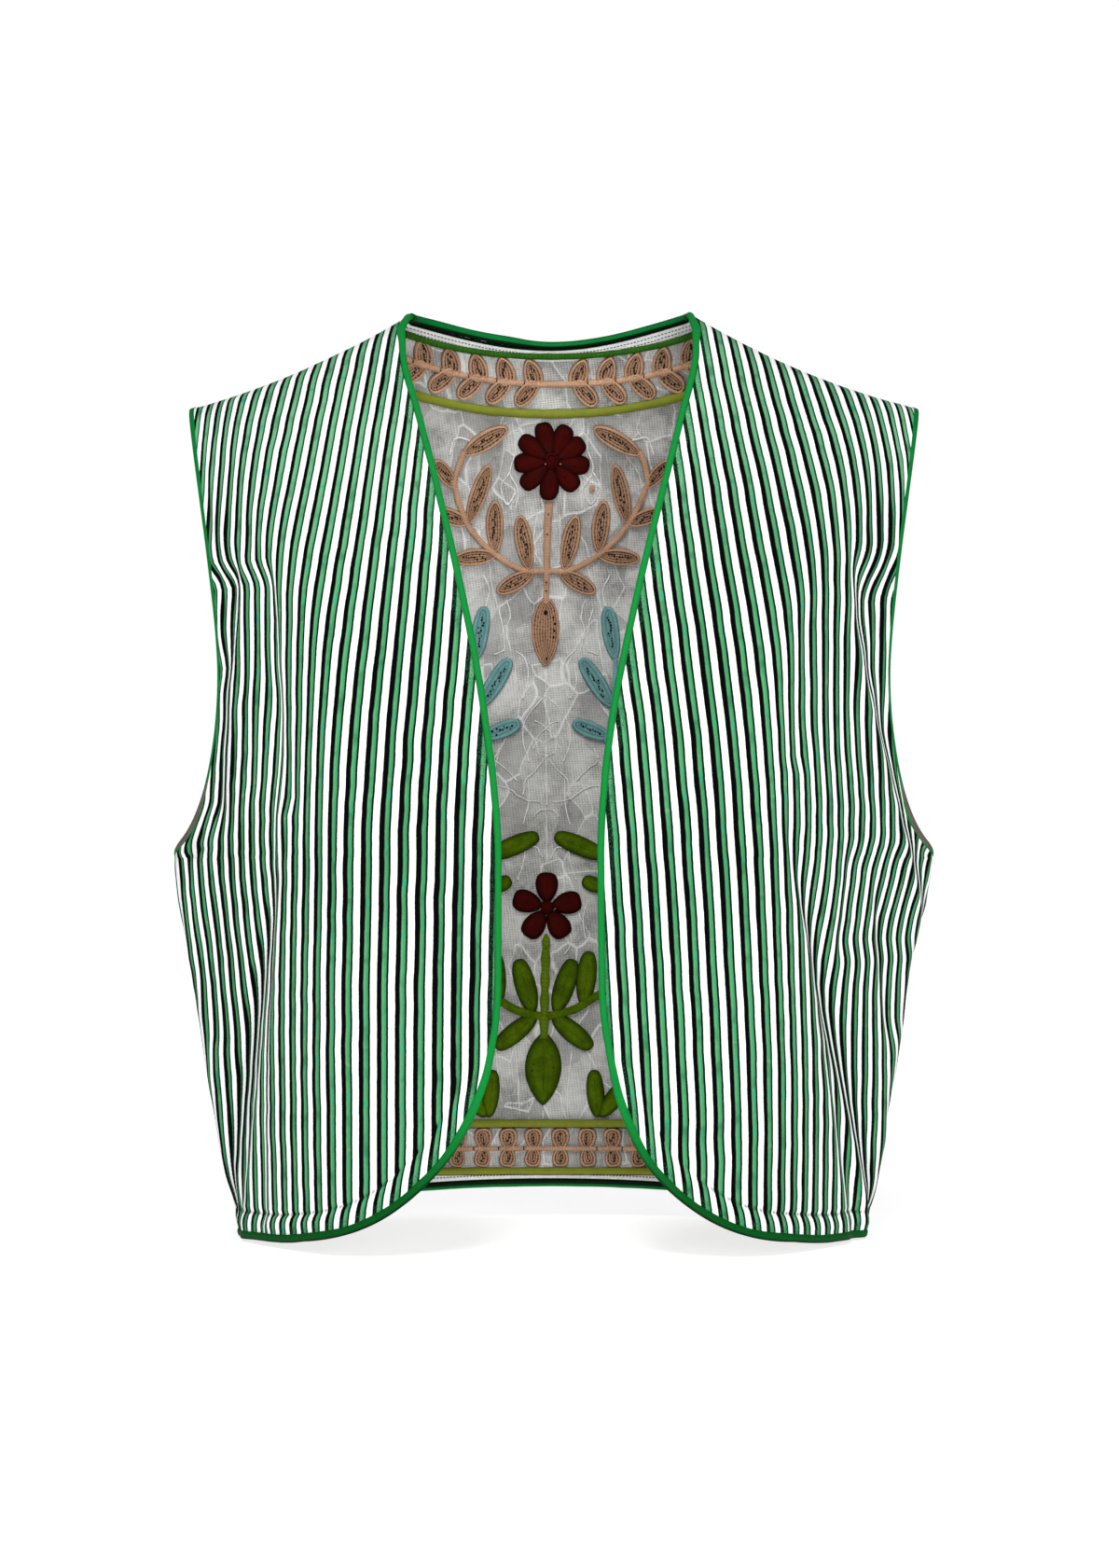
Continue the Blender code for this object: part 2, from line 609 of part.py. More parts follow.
CLEAR = 0.0010                # the applique stands this far off the lining
SLOPE_IN = 0.22               # how much smaller a motif's top is than its foot
LEAF_HEIGHT = 0.0020
STEM_HEIGHT = 0.0017
PETAL_HEIGHT = 0.0026
HEART_HEIGHT = 0.0034
BORDER_HEIGHT = 0.0018
LEAF_CORNERS = 8
FLAT_ANGLE = math.radians(1)  # faces this nearly level are joined before they are laid down
CORD_STEP = 0.0085            # length of a cord's segments
CLEAR_RISE = 1.06             # a main stem stands this much taller than what branches off it
UNEVEN = 0.05                 # how much one petal or leaf is taller than the next
BORDER_LEAF_CORNERS = 6

# Where the motifs' centre line lies at the neck and at the hem.
MOTIF_AXIS_TOP, MOTIF_AXIS_FOOT = 0.0030, -0.0028

# Couched cords: how high at the centre, how much higher at the reach of the neck point, thickness.
Cord = namedtuple("Cord", "name height rise thickness reach")
CORDS = (
    Cord("neck_cord_upper", -0.0166, 0.0098, 0.0032, 0.0825),
    Cord("neck_cord_lower", -0.0504, 0.0108, 0.0052, 0.126),
    Cord("hem_cord_upper", -0.4960, 0.0, 0.0052, 0.135),
    Cord("hem_cord_lower", -0.5258, 0.0, 0.0046, 0.135),
)

# Leaf borders: middle of the stem, its rise and width, a leaf's length, width and lean, where the first
# pair beside the middle stands, the pitch of the rest, pairs a side, whether a pair stands on the middle.
Border = namedtuple("Border", "name x height rise stem long wide lean first pitch pairs has_middle")
BORDERS = (
    Border("neck_leaf_border", 0.0035, -0.0324, 0.0112, 0.0036,
           0.0124, 0.0120, 0.28, 0.0125, 0.0175, 5, False),
    Border("hem_leaf_border", 0.0062, -0.5118, 0.0, 0.0030,
           0.0108, 0.0114, 0.18, 0.0164, 0.0160, 7, True),
)
BORDER_END = 0.75             # the stem runs on this share of a pitch past its last pair

# A sprig's leaves, one side of its centre line: where each starts and ends, and its width.
Leaf = namedtuple("Leaf", "base_x base_z tip_x tip_z width")
TAN_STEM = ((0.0, -0.1042, 0.0058), (0.0, -0.1300, 0.0052), (0.0, -0.1470, 0.0046), (0.0, -0.1680, 0.0040))
TAN_BRANCH = ((0.0, -0.1475), (0.0110, -0.1475), (0.0230, -0.1435), (0.0340, -0.1360), (0.0440, -0.1270),
              (0.0510, -0.1178), (0.0570, -0.1050), (0.0620, -0.0900))
TAN_TWIG = ((0.0612, -0.0915), (0.0585, -0.0820), (0.0550, -0.0730))
TAN_BRANCH_WIDTH = 0.0036
TAN_LEAVES = (
    Leaf(0.0080, -0.1482, 0.0315, -0.1612, 0.0112),
    Leaf(0.0110, -0.1470, 0.0180, -0.1125, 0.0112),
    Leaf(0.0325, -0.1360, 0.0345, -0.1035, 0.0112),
    Leaf(0.0320, -0.1375, 0.0590, -0.1400, 0.0108),
    Leaf(0.0505, -0.1180, 0.0395, -0.0815, 0.0105),
    Leaf(0.0505, -0.1180, 0.0720, -0.1100, 0.0100),
    Leaf(0.0560, -0.0755, 0.0270, -0.0590, 0.0110),
    Leaf(0.0600, -0.0960, 0.0740, -0.0790, 0.0090),
)
TAN_SPINDLE = Leaf(0.0, -0.1650, 0.0, -0.2085, 0.0180)

TEAL_STEM_WIDTH = 0.0034
TEAL_STEM = ((0.0445, -0.2000), (0.0435, -0.2200), (0.0410, -0.2400), (0.0375, -0.2560))
TEAL_LEAVES = (
    Leaf(0.0440, -0.2060, 0.0400, -0.1715, 0.0085),
    Leaf(0.0420, -0.2345, 0.0225, -0.2045, 0.0085),
    Leaf(0.0385, -0.2530, 0.0165, -0.2445, 0.0085),
)

GREEN_STEM = ((0.0, -0.3772, 0.0052), (0.0, -0.4000, 0.0050), (0.0, -0.4430, 0.0050))
GREEN_BRANCH_WIDTH = 0.0046
GREEN_BRANCH = ((0.0, -0.4290), (0.0100, -0.4275), (0.0200, -0.4240), (0.0300, -0.4180))
GREEN_LEAVES = (
    Leaf(0.0060, -0.4270, 0.0170, -0.3940, 0.0125),
    Leaf(0.0245, -0.4225, 0.0280, -0.3890, 0.0115),
    Leaf(0.0050, -0.4285, 0.0305, -0.4485, 0.0115),
)
GREEN_SPINDLE = Leaf(0.0, -0.4385, 0.0, -0.4860, 0.0205)
GREEN_SIDE_STEM = ((0.0345, -0.3220), (0.0350, -0.3380), (0.0350, -0.3540))
GREEN_SIDE_LEAVES = (
    Leaf(0.0360, -0.3285, 0.0060, -0.3155, 0.0125),
    Leaf(0.0360, -0.3490, 0.0225, -0.3430, 0.0095),
)
CORNER_LEAVES = (
    Leaf(0.0345, -0.4925, 0.0320, -0.4625, 0.0120),
    Leaf(0.0360, -0.4920, 0.0530, -0.4700, 0.0120),
)

# Flowers: how many petals, where the middle is, petal reach and width, first petal's turn from straight up,
# and the reach of the button in the middle.  A petal's shape is in shares of its reach and half width.
PETAL_SHAPE = ((0.08, 0.25), (0.45, 0.75), (0.78, 1.0), (0.98, 0.55),
               (0.98, -0.55), (0.78, -1.0), (0.45, -0.75), (0.08, -0.25))
HEART_TURN = 0.3              # turns the button so that none of its corners meets a petal's
Flower = namedtuple("Flower", "name petals height reach width turn heart")
FLOWERS = (
    Flower("flower_upper", 9, -0.0795, 0.0245, 0.0150, -0.17, 0.0062),
    Flower("flower_lower", 5, -0.3605, 0.0220, 0.0140, 0.0, 0.0052),
)


def lining_point(x, height, lift):
    """Point over the lining's inner face, lifted off it into the hollow."""
    side = 1 if x >= 0 else -1
    point, normal = face_at(side, height, cloth_at_reach(height, abs(x), False), False)
    return point - normal * (LINED_WALL + lift), normal


def motif_axis(height):
    """Where the motifs' centre line lies at a height."""
    return MOTIF_AXIS_TOP + (MOTIF_AXIS_FOOT - MOTIF_AXIS_TOP) * height / BACK_HEM


def leaf_piece(side, leaf, height, corners=LEAF_CORNERS):
    """A pointed leaf from its base to its tip, on one side of the centre line."""
    base, tip = Vector((side * leaf.base_x, leaf.base_z)), Vector((side * leaf.tip_x, leaf.tip_z))
    along = tip - base
    aside = Vector((-along.y, along.x)).normalized() * leaf.width / 2
    outline = []
    for k in range(corners):
        turn = 2 * math.pi * k / corners
        outline.append(base + along * (0.5 - 0.5 * math.cos(turn)) + aside * math.sin(turn))
    return raised_piece(outline, height)


def flat_object(vertices, faces):
    """A temporary piece drawn in x and z with its height along y."""
    mesh = bpy.data.meshes.new("piece")
    mesh.from_pydata([tuple(vertex) for vertex in vertices], [], faces)
    work = bmesh.new()
    work.from_mesh(mesh)
    bmesh.ops.recalc_face_normals(work, faces=work.faces[:])
    work.to_mesh(mesh)
    work.free()
    piece = bpy.data.objects.new("piece", mesh)
    bpy.context.scene.collection.objects.link(piece)
    return piece


def raised_piece(outline, height):
    """A flat-backed piece whose sides slope in to a smaller top."""
    middle = sum(outline, Vector((0, 0))) / len(outline)
    inner = [corner + (middle - corner) * SLOPE_IN for corner in outline]
    count = len(outline)
    vertices = [(corner.x, 0.0, corner.y) for corner in outline]
    vertices += [(corner.x, height, corner.y) for corner in inner]
    faces = [tuple(range(count)), tuple(range(2 * count - 1, count - 1, -1))]
    for k in range(count):
        after = (k + 1) % count
        faces.append((k, after, count + after, count + k))
    return flat_object(vertices, faces)


def raised_ribbon(side, points, widths, height):
    """A flat-backed stem through points, on one side of the centre line."""
    line = [Vector((side * point[0], point[1])) for point in points]
    vertices, faces = [], []
    last = len(line) - 1
    for k, point in enumerate(line):
        along = (line[min(k + 1, last)] - line[max(k - 1, 0)]).normalized()
        aside = Vector((-along.y, along.x)) * widths[k] / 2
        for share, lift in ((1, 0.0), (1 - SLOPE_IN, height), (SLOPE_IN - 1, height), (-1, 0.0)):
            corner = point + aside * share
            vertices.append((corner.x, lift, corner.y))
    for k in range(last):
        near, far = 4 * k, 4 * (k + 1)
        for corner in range(4):
            ahead = (corner + 1) % 4
            faces.append((near + corner, near + ahead, far + ahead, far + corner))
    faces += [(0, 1, 2, 3), (4 * last + 3, 4 * last + 2, 4 * last + 1, 4 * last)]
    return flat_object(vertices, faces)


def applique(name, pieces, axis, material):
    """Join flat pieces into one body and lay it on the lining, moved over by axis(height)."""
    body, others = pieces[0], pieces[1:]
    for other in others:
        join = body.modifiers.new("join", "BOOLEAN")
        join.operation = "UNION"
        join.solver = "EXACT"
        join.object = other
    bpy.context.view_layer.update()
    flat = bpy.data.meshes.new_from_object(body.evaluated_get(bpy.context.evaluated_depsgraph_get()))
    for piece in pieces:
        bpy.data.objects.remove(piece, do_unlink=True)
    work = bmesh.new()
    work.from_mesh(flat)
    bmesh.ops.dissolve_limit(work, angle_limit=FLAT_ANGLE, verts=work.verts[:], edges=work.edges[:])
    bmesh.ops.triangulate(work, faces=work.faces[:])
    vertices = []
    for vertex in work.verts:
        x, lift, height = vertex.co
        vertices.append(lining_point(x + axis(height), height, CLEAR + lift)[0])
    work.verts.index_update()
    faces = [tuple(vertex.index for vertex in face.verts) for face in work.faces]
    work.free()
    return finish_mesh(name, vertices, faces, material)


def couched_cord(cord, material):
    """A cord sewn down along the neck or the hem."""
    path, across, lifts = [], [], []
    steps = 2 * round(cord.reach / CORD_STEP)
    for k in range(steps + 1):
        x = cord.reach * (2 * k / steps - 1)
        height = cord.height + cord.rise * (abs(x) / NECK_REACH) ** BAND_CURVE
        point, normal = lining_point(x, height, CLEAR + cord.thickness / 2)
        path.append(point)
        lifts.append(normal)
    for k, normal in enumerate(lifts):
        along = (path[min(k + 1, steps)] - path[max(k - 1, 0)]).normalized()
        across.append(along.cross(normal).normalized())
    half = [cord.thickness / 2] * len(path)
    tube(cord.name, path, across, lifts, half, half, material, sides=6)


def leaf_border(border, material):
    """A stem with pairs of leaves that lean away from its middle."""
    def on_stem(x):
        return Vector((x, border.height + border.rise * (abs(x) / NECK_REACH) ** BAND_CURVE))

    places = [border.first + border.pitch * k for k in range(border.pairs)]
    reach = places[-1] + border.pitch * BORDER_END
    steps = 2 * border.pairs + 2
    stem = [on_stem(reach * (2 * k / steps - 1)) for k in range(steps + 1)]
    pieces = [raised_ribbon(1, stem, [border.stem] * len(stem), BORDER_HEIGHT)]
    leaves = [(-x, -1) for x in places] + [(x, 1) for x in places]
    if border.has_middle:
        leaves.append((0.0, 0))
    for x, lean in leaves:
        foot = on_stem(x)
        along = (on_stem(x + FINE) - on_stem(x - FINE)).normalized()
        for up in (1, -1):
            rise = Vector((-along.y, along.x)) * up
            tip = foot + (rise + along * lean * border.lean) * border.long
            leaf = Leaf(*foot, *tip, border.wide)
            pieces.append(leaf_piece(1, leaf, BORDER_HEIGHT * CLEAR_RISE, BORDER_LEAF_CORNERS))
    applique(border.name, pieces, lambda height: border.x, material)


def petal_piece(flower, k):
    """One rounded petal of a flower."""
    turn = flower.turn + 2 * math.pi * k / flower.petals
    middle = Vector((0.0, flower.height))
    along = Vector((math.sin(turn), math.cos(turn)))
    aside = Vector((along.y, -along.x)) * flower.width / 2
    outline = [middle + along * flower.reach * out + aside * wide for out, wide in PETAL_SHAPE]
    return raised_piece(outline, PETAL_HEIGHT * (1 + UNEVEN * (k % 3)))


def flower_heart(flower):
    """The round button in the middle of a flower."""
    outline = []
    for k in range(LEAF_CORNERS):
        turn = 2 * math.pi * (k + HEART_TURN) / LEAF_CORNERS
        outline.append(Vector((math.cos(turn), math.sin(turn))) * flower.heart + Vector((0.0, flower.height)))
    return raised_piece(outline, HEART_HEIGHT)


def both_sides(leaves, height):
    """Leaves and their mirror images."""
    return [leaf_piece(side, leaf, height) for leaf in leaves for side in (-1, 1)]


def branch_pair(points, width):
    """A branch and its mirror image."""
    return [raised_ribbon(side, points, [width] * len(points), STEM_HEIGHT) for side in (-1, 1)]


def straight_stem(rows):
    """A stem from rows of x, z and width."""
    return raised_ribbon(1, [row[:2] for row in rows], [row[2] for row in rows], STEM_HEIGHT * CLEAR_RISE)


def build_embroidery():
    """Cords, leaf borders, sprigs and flowers on the inside of the back."""
    grass = cloth_material("grass_cord", (0.04, 0.19, 0.02), 0.6)
    olive = cloth_material("olive_cord", (0.22, 0.24, 0.02), 0.6)
    tan = cloth_material("tan_cord", (0.38, 0.21, 0.12), 0.7)
    teal = cloth_material("teal_cord", (0.07, 0.18, 0.18), 0.7)
    felt = cloth_material("leaf_felt", (0.05, 0.12, 0.008), 0.8)
    maroon = cloth_material("petal_felt", (0.05, 0.004, 0.003), 0.8)
    for cord in CORDS:
        couched_cord(cord, grass if cord is CORDS[0] else olive)
    for border in BORDERS:
        leaf_border(border, tan)
    pieces = [straight_stem(TAN_STEM), leaf_piece(1, TAN_SPINDLE, LEAF_HEIGHT)]
    pieces += branch_pair(TAN_BRANCH, TAN_BRANCH_WIDTH) + branch_pair(TAN_TWIG, TAN_BRANCH_WIDTH)
    applique("sprig_tan", pieces + both_sides(TAN_LEAVES, LEAF_HEIGHT), motif_axis, tan)
    pieces = [straight_stem(GREEN_STEM), leaf_piece(1, GREEN_SPINDLE, LEAF_HEIGHT)]
    pieces += branch_pair(GREEN_BRANCH, GREEN_BRANCH_WIDTH) + both_sides(GREEN_LEAVES, LEAF_HEIGHT)
    applique("sprig_green", pieces, motif_axis, felt)
    for side, wearer in ((-1, "right"), (1, "left")):
        stem = raised_ribbon(side, TEAL_STEM, [TEAL_STEM_WIDTH] * len(TEAL_STEM), STEM_HEIGHT)
        leaves = [leaf_piece(side, leaf, LEAF_HEIGHT) for leaf in TEAL_LEAVES]
        applique("sprig_teal_" + wearer, [stem] + leaves, motif_axis, teal)
        widths = [GREEN_BRANCH_WIDTH] * len(GREEN_SIDE_STEM)
        stem = raised_ribbon(side, GREEN_SIDE_STEM, widths, STEM_HEIGHT)
        leaves = [leaf_piece(side, leaf, LEAF_HEIGHT) for leaf in GREEN_SIDE_LEAVES]
        applique("leaves_green_" + wearer, [stem] + leaves, motif_axis, felt)
        heights = [LEAF_HEIGHT * (1 + UNEVEN * k) for k in range(len(CORNER_LEAVES))]
        leaves = [leaf_piece(side, leaf, height) for leaf, height in zip(CORNER_LEAVES, heights)]
        applique("leaves_corner_" + wearer, leaves, motif_axis, felt)
    for flower in FLOWERS:
        pieces = [flower_heart(flower)] + [petal_piece(flower, k) for k in range(flower.petals)]
        applique(flower.name, pieces, motif_axis, maroon)


def main():
    """Clear the scene and build the waistcoat."""
    for obj in list(bpy.data.objects):
        bpy.data.objects.remove(obj, do_unlink=True)
    build_walls()
    build_embroidery()


main()
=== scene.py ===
"""Embroidered waistcoat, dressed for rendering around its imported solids.

Every visible piece is built from the same hanging form as the solids: plan sections at heights, read as a
distance along the cloth.  Fine grids on that form carry the creases, puckers and stripes, bindings are swept
along the grids' edges, and the embroidery is laid along the lining.
"""
import logging
import math
from dataclasses import dataclass, field
from enum import Enum
from typing import Callable, NamedTuple, Sequence

import bpy
import numpy as np
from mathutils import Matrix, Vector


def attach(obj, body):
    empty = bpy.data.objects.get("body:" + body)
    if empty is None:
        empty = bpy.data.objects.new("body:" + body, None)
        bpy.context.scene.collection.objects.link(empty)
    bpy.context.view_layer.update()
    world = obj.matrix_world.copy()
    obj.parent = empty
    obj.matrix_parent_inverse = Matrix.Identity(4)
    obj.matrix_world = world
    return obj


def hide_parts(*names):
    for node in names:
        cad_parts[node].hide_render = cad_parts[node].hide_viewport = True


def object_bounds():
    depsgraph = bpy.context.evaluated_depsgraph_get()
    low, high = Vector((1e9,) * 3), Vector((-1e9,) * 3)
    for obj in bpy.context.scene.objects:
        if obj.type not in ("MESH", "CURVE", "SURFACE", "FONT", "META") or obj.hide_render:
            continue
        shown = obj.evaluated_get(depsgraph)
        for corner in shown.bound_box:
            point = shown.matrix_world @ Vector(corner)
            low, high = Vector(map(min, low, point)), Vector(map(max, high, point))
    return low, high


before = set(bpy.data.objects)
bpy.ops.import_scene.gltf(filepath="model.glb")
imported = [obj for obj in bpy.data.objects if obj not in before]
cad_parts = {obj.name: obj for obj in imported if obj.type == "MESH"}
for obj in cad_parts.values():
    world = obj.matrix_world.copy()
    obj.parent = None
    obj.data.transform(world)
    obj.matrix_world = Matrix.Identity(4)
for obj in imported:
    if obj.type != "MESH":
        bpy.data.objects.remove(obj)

LOG = logging.getLogger("waistcoat")
Array = np.ndarray
Material = bpy.types.Material
Tree = bpy.types.NodeTree
SOLID_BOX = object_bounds()

GAP = 0.0003                  # between sewn pieces, in metres
TRIM = 0.004                 # a wall ends this far inside a bound edge
ARMHOLE_TRIM = 0.0022
BACK_WALL = 0.0014
LINING_WALL = 0.0012
FRONT_WALL = 0.0018
LINED_WALL = BACK_WALL + GAP + LINING_WALL


class Panel(Enum):
    """Which part of the body form a cloth lies on."""

    FRONT = "front"
    BACK = "back"

    def pick(self, front: object, back: object) -> object:
        """The front's or the back's own value."""
        return front if self is Panel.FRONT else back


class Side(Enum):
    """The wearer's side, and its direction along X."""

    RIGHT = -1
    LEFT = 1

    @property
    def word(self) -> str:
        """The side's name in the pieces' names."""
        return self.name.lower()


# ------------------------------ shape helpers


def rows_of(kind: type, *rows: tuple) -> tuple:
    """Records of one kind from rows of their values."""
    return tuple(kind(*row) for row in rows)


def clamped(values: Array) -> Array:
    """Values held between 0 and 1."""
    return np.clip(values, 0.0, 1.0)


def hump(places: Array, at: float, width: float) -> Array:
    """A rounded rise to 1 at a place, with its width."""
    return np.exp(-((places - at) / width) ** 2)


def run_along(path: Array) -> Array:
    """How far each point lies along a path."""
    return np.concatenate(([0.0], np.cumsum(np.linalg.norm(np.diff(path, axis=0), axis=1))))


def smooth_through(places: Sequence[float], values: Sequence[float], at: Array | float) -> Array:
    """Read a monotone cubic through given values."""
    known, level = np.asarray(places, float), np.asarray(values, float)
    where = np.clip(np.asarray(at, float), known[0], known[-1])
    steps = np.diff(known)
    rises = np.diff(level) / steps
    slopes = np.zeros_like(level)
    slopes[0], slopes[-1] = rises[0], rises[-1]
    steady = rises[:-1] * rises[1:] > 0
    slopes[1:-1][steady] = 2.0 / (1.0 / rises[:-1][steady] + 1.0 / rises[1:][steady])
    k = np.clip(np.searchsorted(known, where, side="right") - 1, 0, len(steps) - 1)
    t = (where - known[k]) / steps[k]
    near = (1 + 2 * t) * (1 - t) ** 2 * level[k] + t * (1 - t) ** 2 * steps[k] * slopes[k]
    far = t * t * (3 - 2 * t) * level[k + 1] + t * t * (t - 1) * steps[k] * slopes[k + 1]
    return near + far


def unit(vectors: Array) -> Array:
    """Vectors of length one along the last axis."""
    return vectors / np.maximum(np.linalg.norm(vectors, axis=-1, keepdims=True), 1e-12)


@dataclass(frozen=True)
class SoftNoise:
    """Smooth, repeatable unevenness in two directions, from -1 to 1."""

    seed: int
    size: int = 64

    def at(self, across: Array, along: Array) -> Array:
        """Read the unevenness."""
        lattice = np.random.default_rng(self.seed).uniform(-1, 1, (self.size, self.size))
        a0, b0 = np.floor(across).astype(int), np.floor(along).astype(int)
        a, b = across - a0, along - b0
        a, b = a * a * (3 - 2 * a), b * b * (3 - 2 * b)
        a0, b0, a1, b1 = a0 % self.size, b0 % self.size, (a0 + 1) % self.size, (b0 + 1) % self.size
        low = lattice[a0, b0] * (1 - a) + lattice[a1, b0] * a
        high = lattice[a0, b1] * (1 - a) + lattice[a1, b1] * a
        return low * (1 - b) + high * b


class Section(NamedTuple):
    """One plan section of the hanging form, in metres and degrees."""

    height: float
    half_width: float
    front: float
    back: float
    turn_at: float
    turn_width: float
    side_angle: float
    sway: float


class Edge(NamedTuple):
    """Distance of a front's finished edge from the centre at a height."""

    height: float
    reach: float


class Fold(NamedTuple):
    """A soft trough or ridge: its ends along the cloth and in height, its lift and half width."""

    side: int
    top_at: float
    foot_at: float
    top: float
    foot: float
    depth: float
    width: float


@dataclass
class HangingForm:
    """The garment's hanging shape and its cut lines, as the solids have them."""

    neck_reach: float = 0.0855
    back_neck_drop: float = 0.0092
    shoulder_tip: float = 0.2185
    shoulder_slope: float = 0.605
    shoulder_ease: float = 1.32
    underarm: float = -0.325
    armhole_waist: float = -0.215
    front_armhole_reach: float = 0.1998
    back_armhole_reach: float = 0.19
    front_hem: float = -0.548
    side_hem_dip: float = 0.007
    back_hem: float = -0.536
    corner_top: float = -0.392
    corner_reach: float = 0.1227
    corner_power: float = 2.1
    corner_split: float = 0.83
    left_hang: tuple = ((-0.512, -0.0024), (-0.496, -0.0022), (-0.479, 0.0), (-0.463, 0.0012),
                        (-0.447, 0.0028), (-0.431, 0.0038), (-0.37, 0.0034), (-0.3, 0.0028), (-0.03, 0.0028),
                        (-0.012, 0.002), (0.0, 0.0))
    right_hang: tuple = ((-0.512, -0.0008), (-0.494, -0.002), (-0.447, -0.0021), (-0.431, -0.0012),
                         (-0.3, -0.001), (-0.25, -0.0002), (-0.2, -0.0012), (-0.1, -0.0019),
                         (-0.06, -0.0012), (-0.03, 0.0), (0.0, 0.0))
    seam_behind: float = 0.012
    seam_calm: float = 0.02
    opening_shift: float = -0.0022
    chest: float = -0.25
    blades: float = -0.17
    shoulder_power: float = 1.4
    shoulder_round: float = 1.8
    shoulder_fuller: float = 1.3
    front_bow: float = 0.6
    side_round: float = 0.022
    back_power: float = 2.3
    neck_curve: float = 1.5
    band_curve: float = 2.2
    armhole_power: float = 1.4
    edge_slant: float = 0.8
    hem_level: float = 0.4
    hem_sag: float = 0.0024
    sag_at: float = 0.158
    sag_width: float = 0.017
    turned_in: float = 0.00265
    turned_uneven: float = 0.00115
    fine: float = 0.0015
    low: float = -0.57
    row_step: float = 0.001
    along_step: float = 0.0005
    longest: float = 0.3
    sections: tuple[Section, ...] = rows_of(
        Section,
        (-0.555, 0.1885, -0.116, 0.097, 0.122, 0.012, 55.0, 0.001),
        (-0.47, 0.2042, -0.121, 0.098, 0.124, 0.011, 53.0, 0.0008),
        (-0.4, 0.216, -0.126, 0.1, 0.124, 0.009, 51.0, 0.0005),
        (-0.325, 0.2292, -0.132, 0.102, 0.124, 0.006, 49.0, 0.0022),
        (-0.25, 0.23, -0.135, 0.104, 0.125, 0.005, 50.0, 0.003),
        (-0.2, 0.23, -0.135, 0.105, 0.132, 0.006, 50.0, 0.003),
        (-0.15, 0.238, -0.134, 0.104, 0.15, 0.008, 50.0, 0.003),
        (-0.1, 0.245, -0.132, 0.102, 0.168, 0.01, 49.0, 0.003),
        (-0.05, 0.25, -0.13, 0.1, 0.184, 0.011, 48.0, 0.003))
    front_edges: tuple[Edge, ...] = rows_of(
        Edge, (-0.392, 0.0264), (-0.325, 0.0262), (-0.283, 0.0284), (-0.24, 0.0338), (-0.2, 0.0416),
        (-0.155, 0.0518), (-0.11, 0.0632), (-0.07, 0.0734), (-0.03, 0.0832), (0.0, 0.0855))
    front_folds: tuple[Fold, ...] = rows_of(
        Fold,
        (-1, 0.164, 0.24, -0.3, -0.565, -0.0052, 0.01), (-1, 0.2, 0.266, -0.3, -0.545, 0.0016, 0.016),
        (-1, 0.19, 0.168, -0.18, -0.285, -0.0025, 0.012), (1, 0.148, 0.224, -0.3, -0.56, -0.0054, 0.01),
        (1, 0.186, 0.252, -0.31, -0.53, 0.0016, 0.016), (1, 0.158, 0.15, -0.15, -0.26, -0.002, 0.012))
    back_folds: tuple[Fold, ...] = rows_of(
        Fold,
        (-1, 0.16, 0.176, -0.24, -0.56, -0.005, 0.015), (-1, 0.196, 0.21, -0.3, -0.55, 0.0035, 0.016),
        (1, 0.15, 0.182, -0.27, -0.565, -0.0055, 0.016), (1, 0.19, 0.214, -0.33, -0.54, 0.003, 0.015))
    samples: int = 240

    def __post_init__(self) -> None:
        """Read every plan section once and keep it in tables."""
        self.tip_cut = self.shoulder_tip - ARMHOLE_TRIM * self.edge_slant
        self.armhole_floor = self.underarm - ARMHOLE_TRIM
        self.cut_hem = self.front_hem + TRIM
        self.cut_side_hem = self.cut_hem - self.side_hem_dip
        self.split_height = self.corner_top - (self.corner_top - self.cut_hem) * self.corner_split
        self.rows = np.arange(self.low, self.row_step / 2, self.row_step)
        self.along = np.arange(0.0, self.longest, self.along_step)
        self.reach_shares = np.linspace(0.0, 0.985, 500)
        kept: list[list[Array]] = []
        for height in self.rows:
            along, x, y, widest = self._plan(float(height))
            total, seam = along[-1], widest + self.seam_behind
            behind = total - along[::-1]
            cut = int(np.searchsorted(along, widest))
            reaches = self.reach_shares * x.max()
            read = ((self.along, along, x), (self.along, along, y), (self.along, behind, x[::-1]),
                    (self.along, behind, y[::-1]), (reaches, x[:cut + 1], along[:cut + 1]),
                    (reaches, x[:cut - 1:-1], behind[:len(along) - cut]))
            kept.append([*(np.interp(*given) for given in read), np.array([x.max(), seam, total - seam])])
        names = ("fx", "fy", "bx", "by", "fd", "bd", "seams")
        self.tables = {name: np.array(rows) for name, rows in zip(names, zip(*kept))}

    def _column(self, name: str, height: Array | float) -> Array:
        """One column of the section table at heights."""
        return smooth_through([row.height for row in self.sections],
                              [getattr(row, name) for row in self.sections], height)

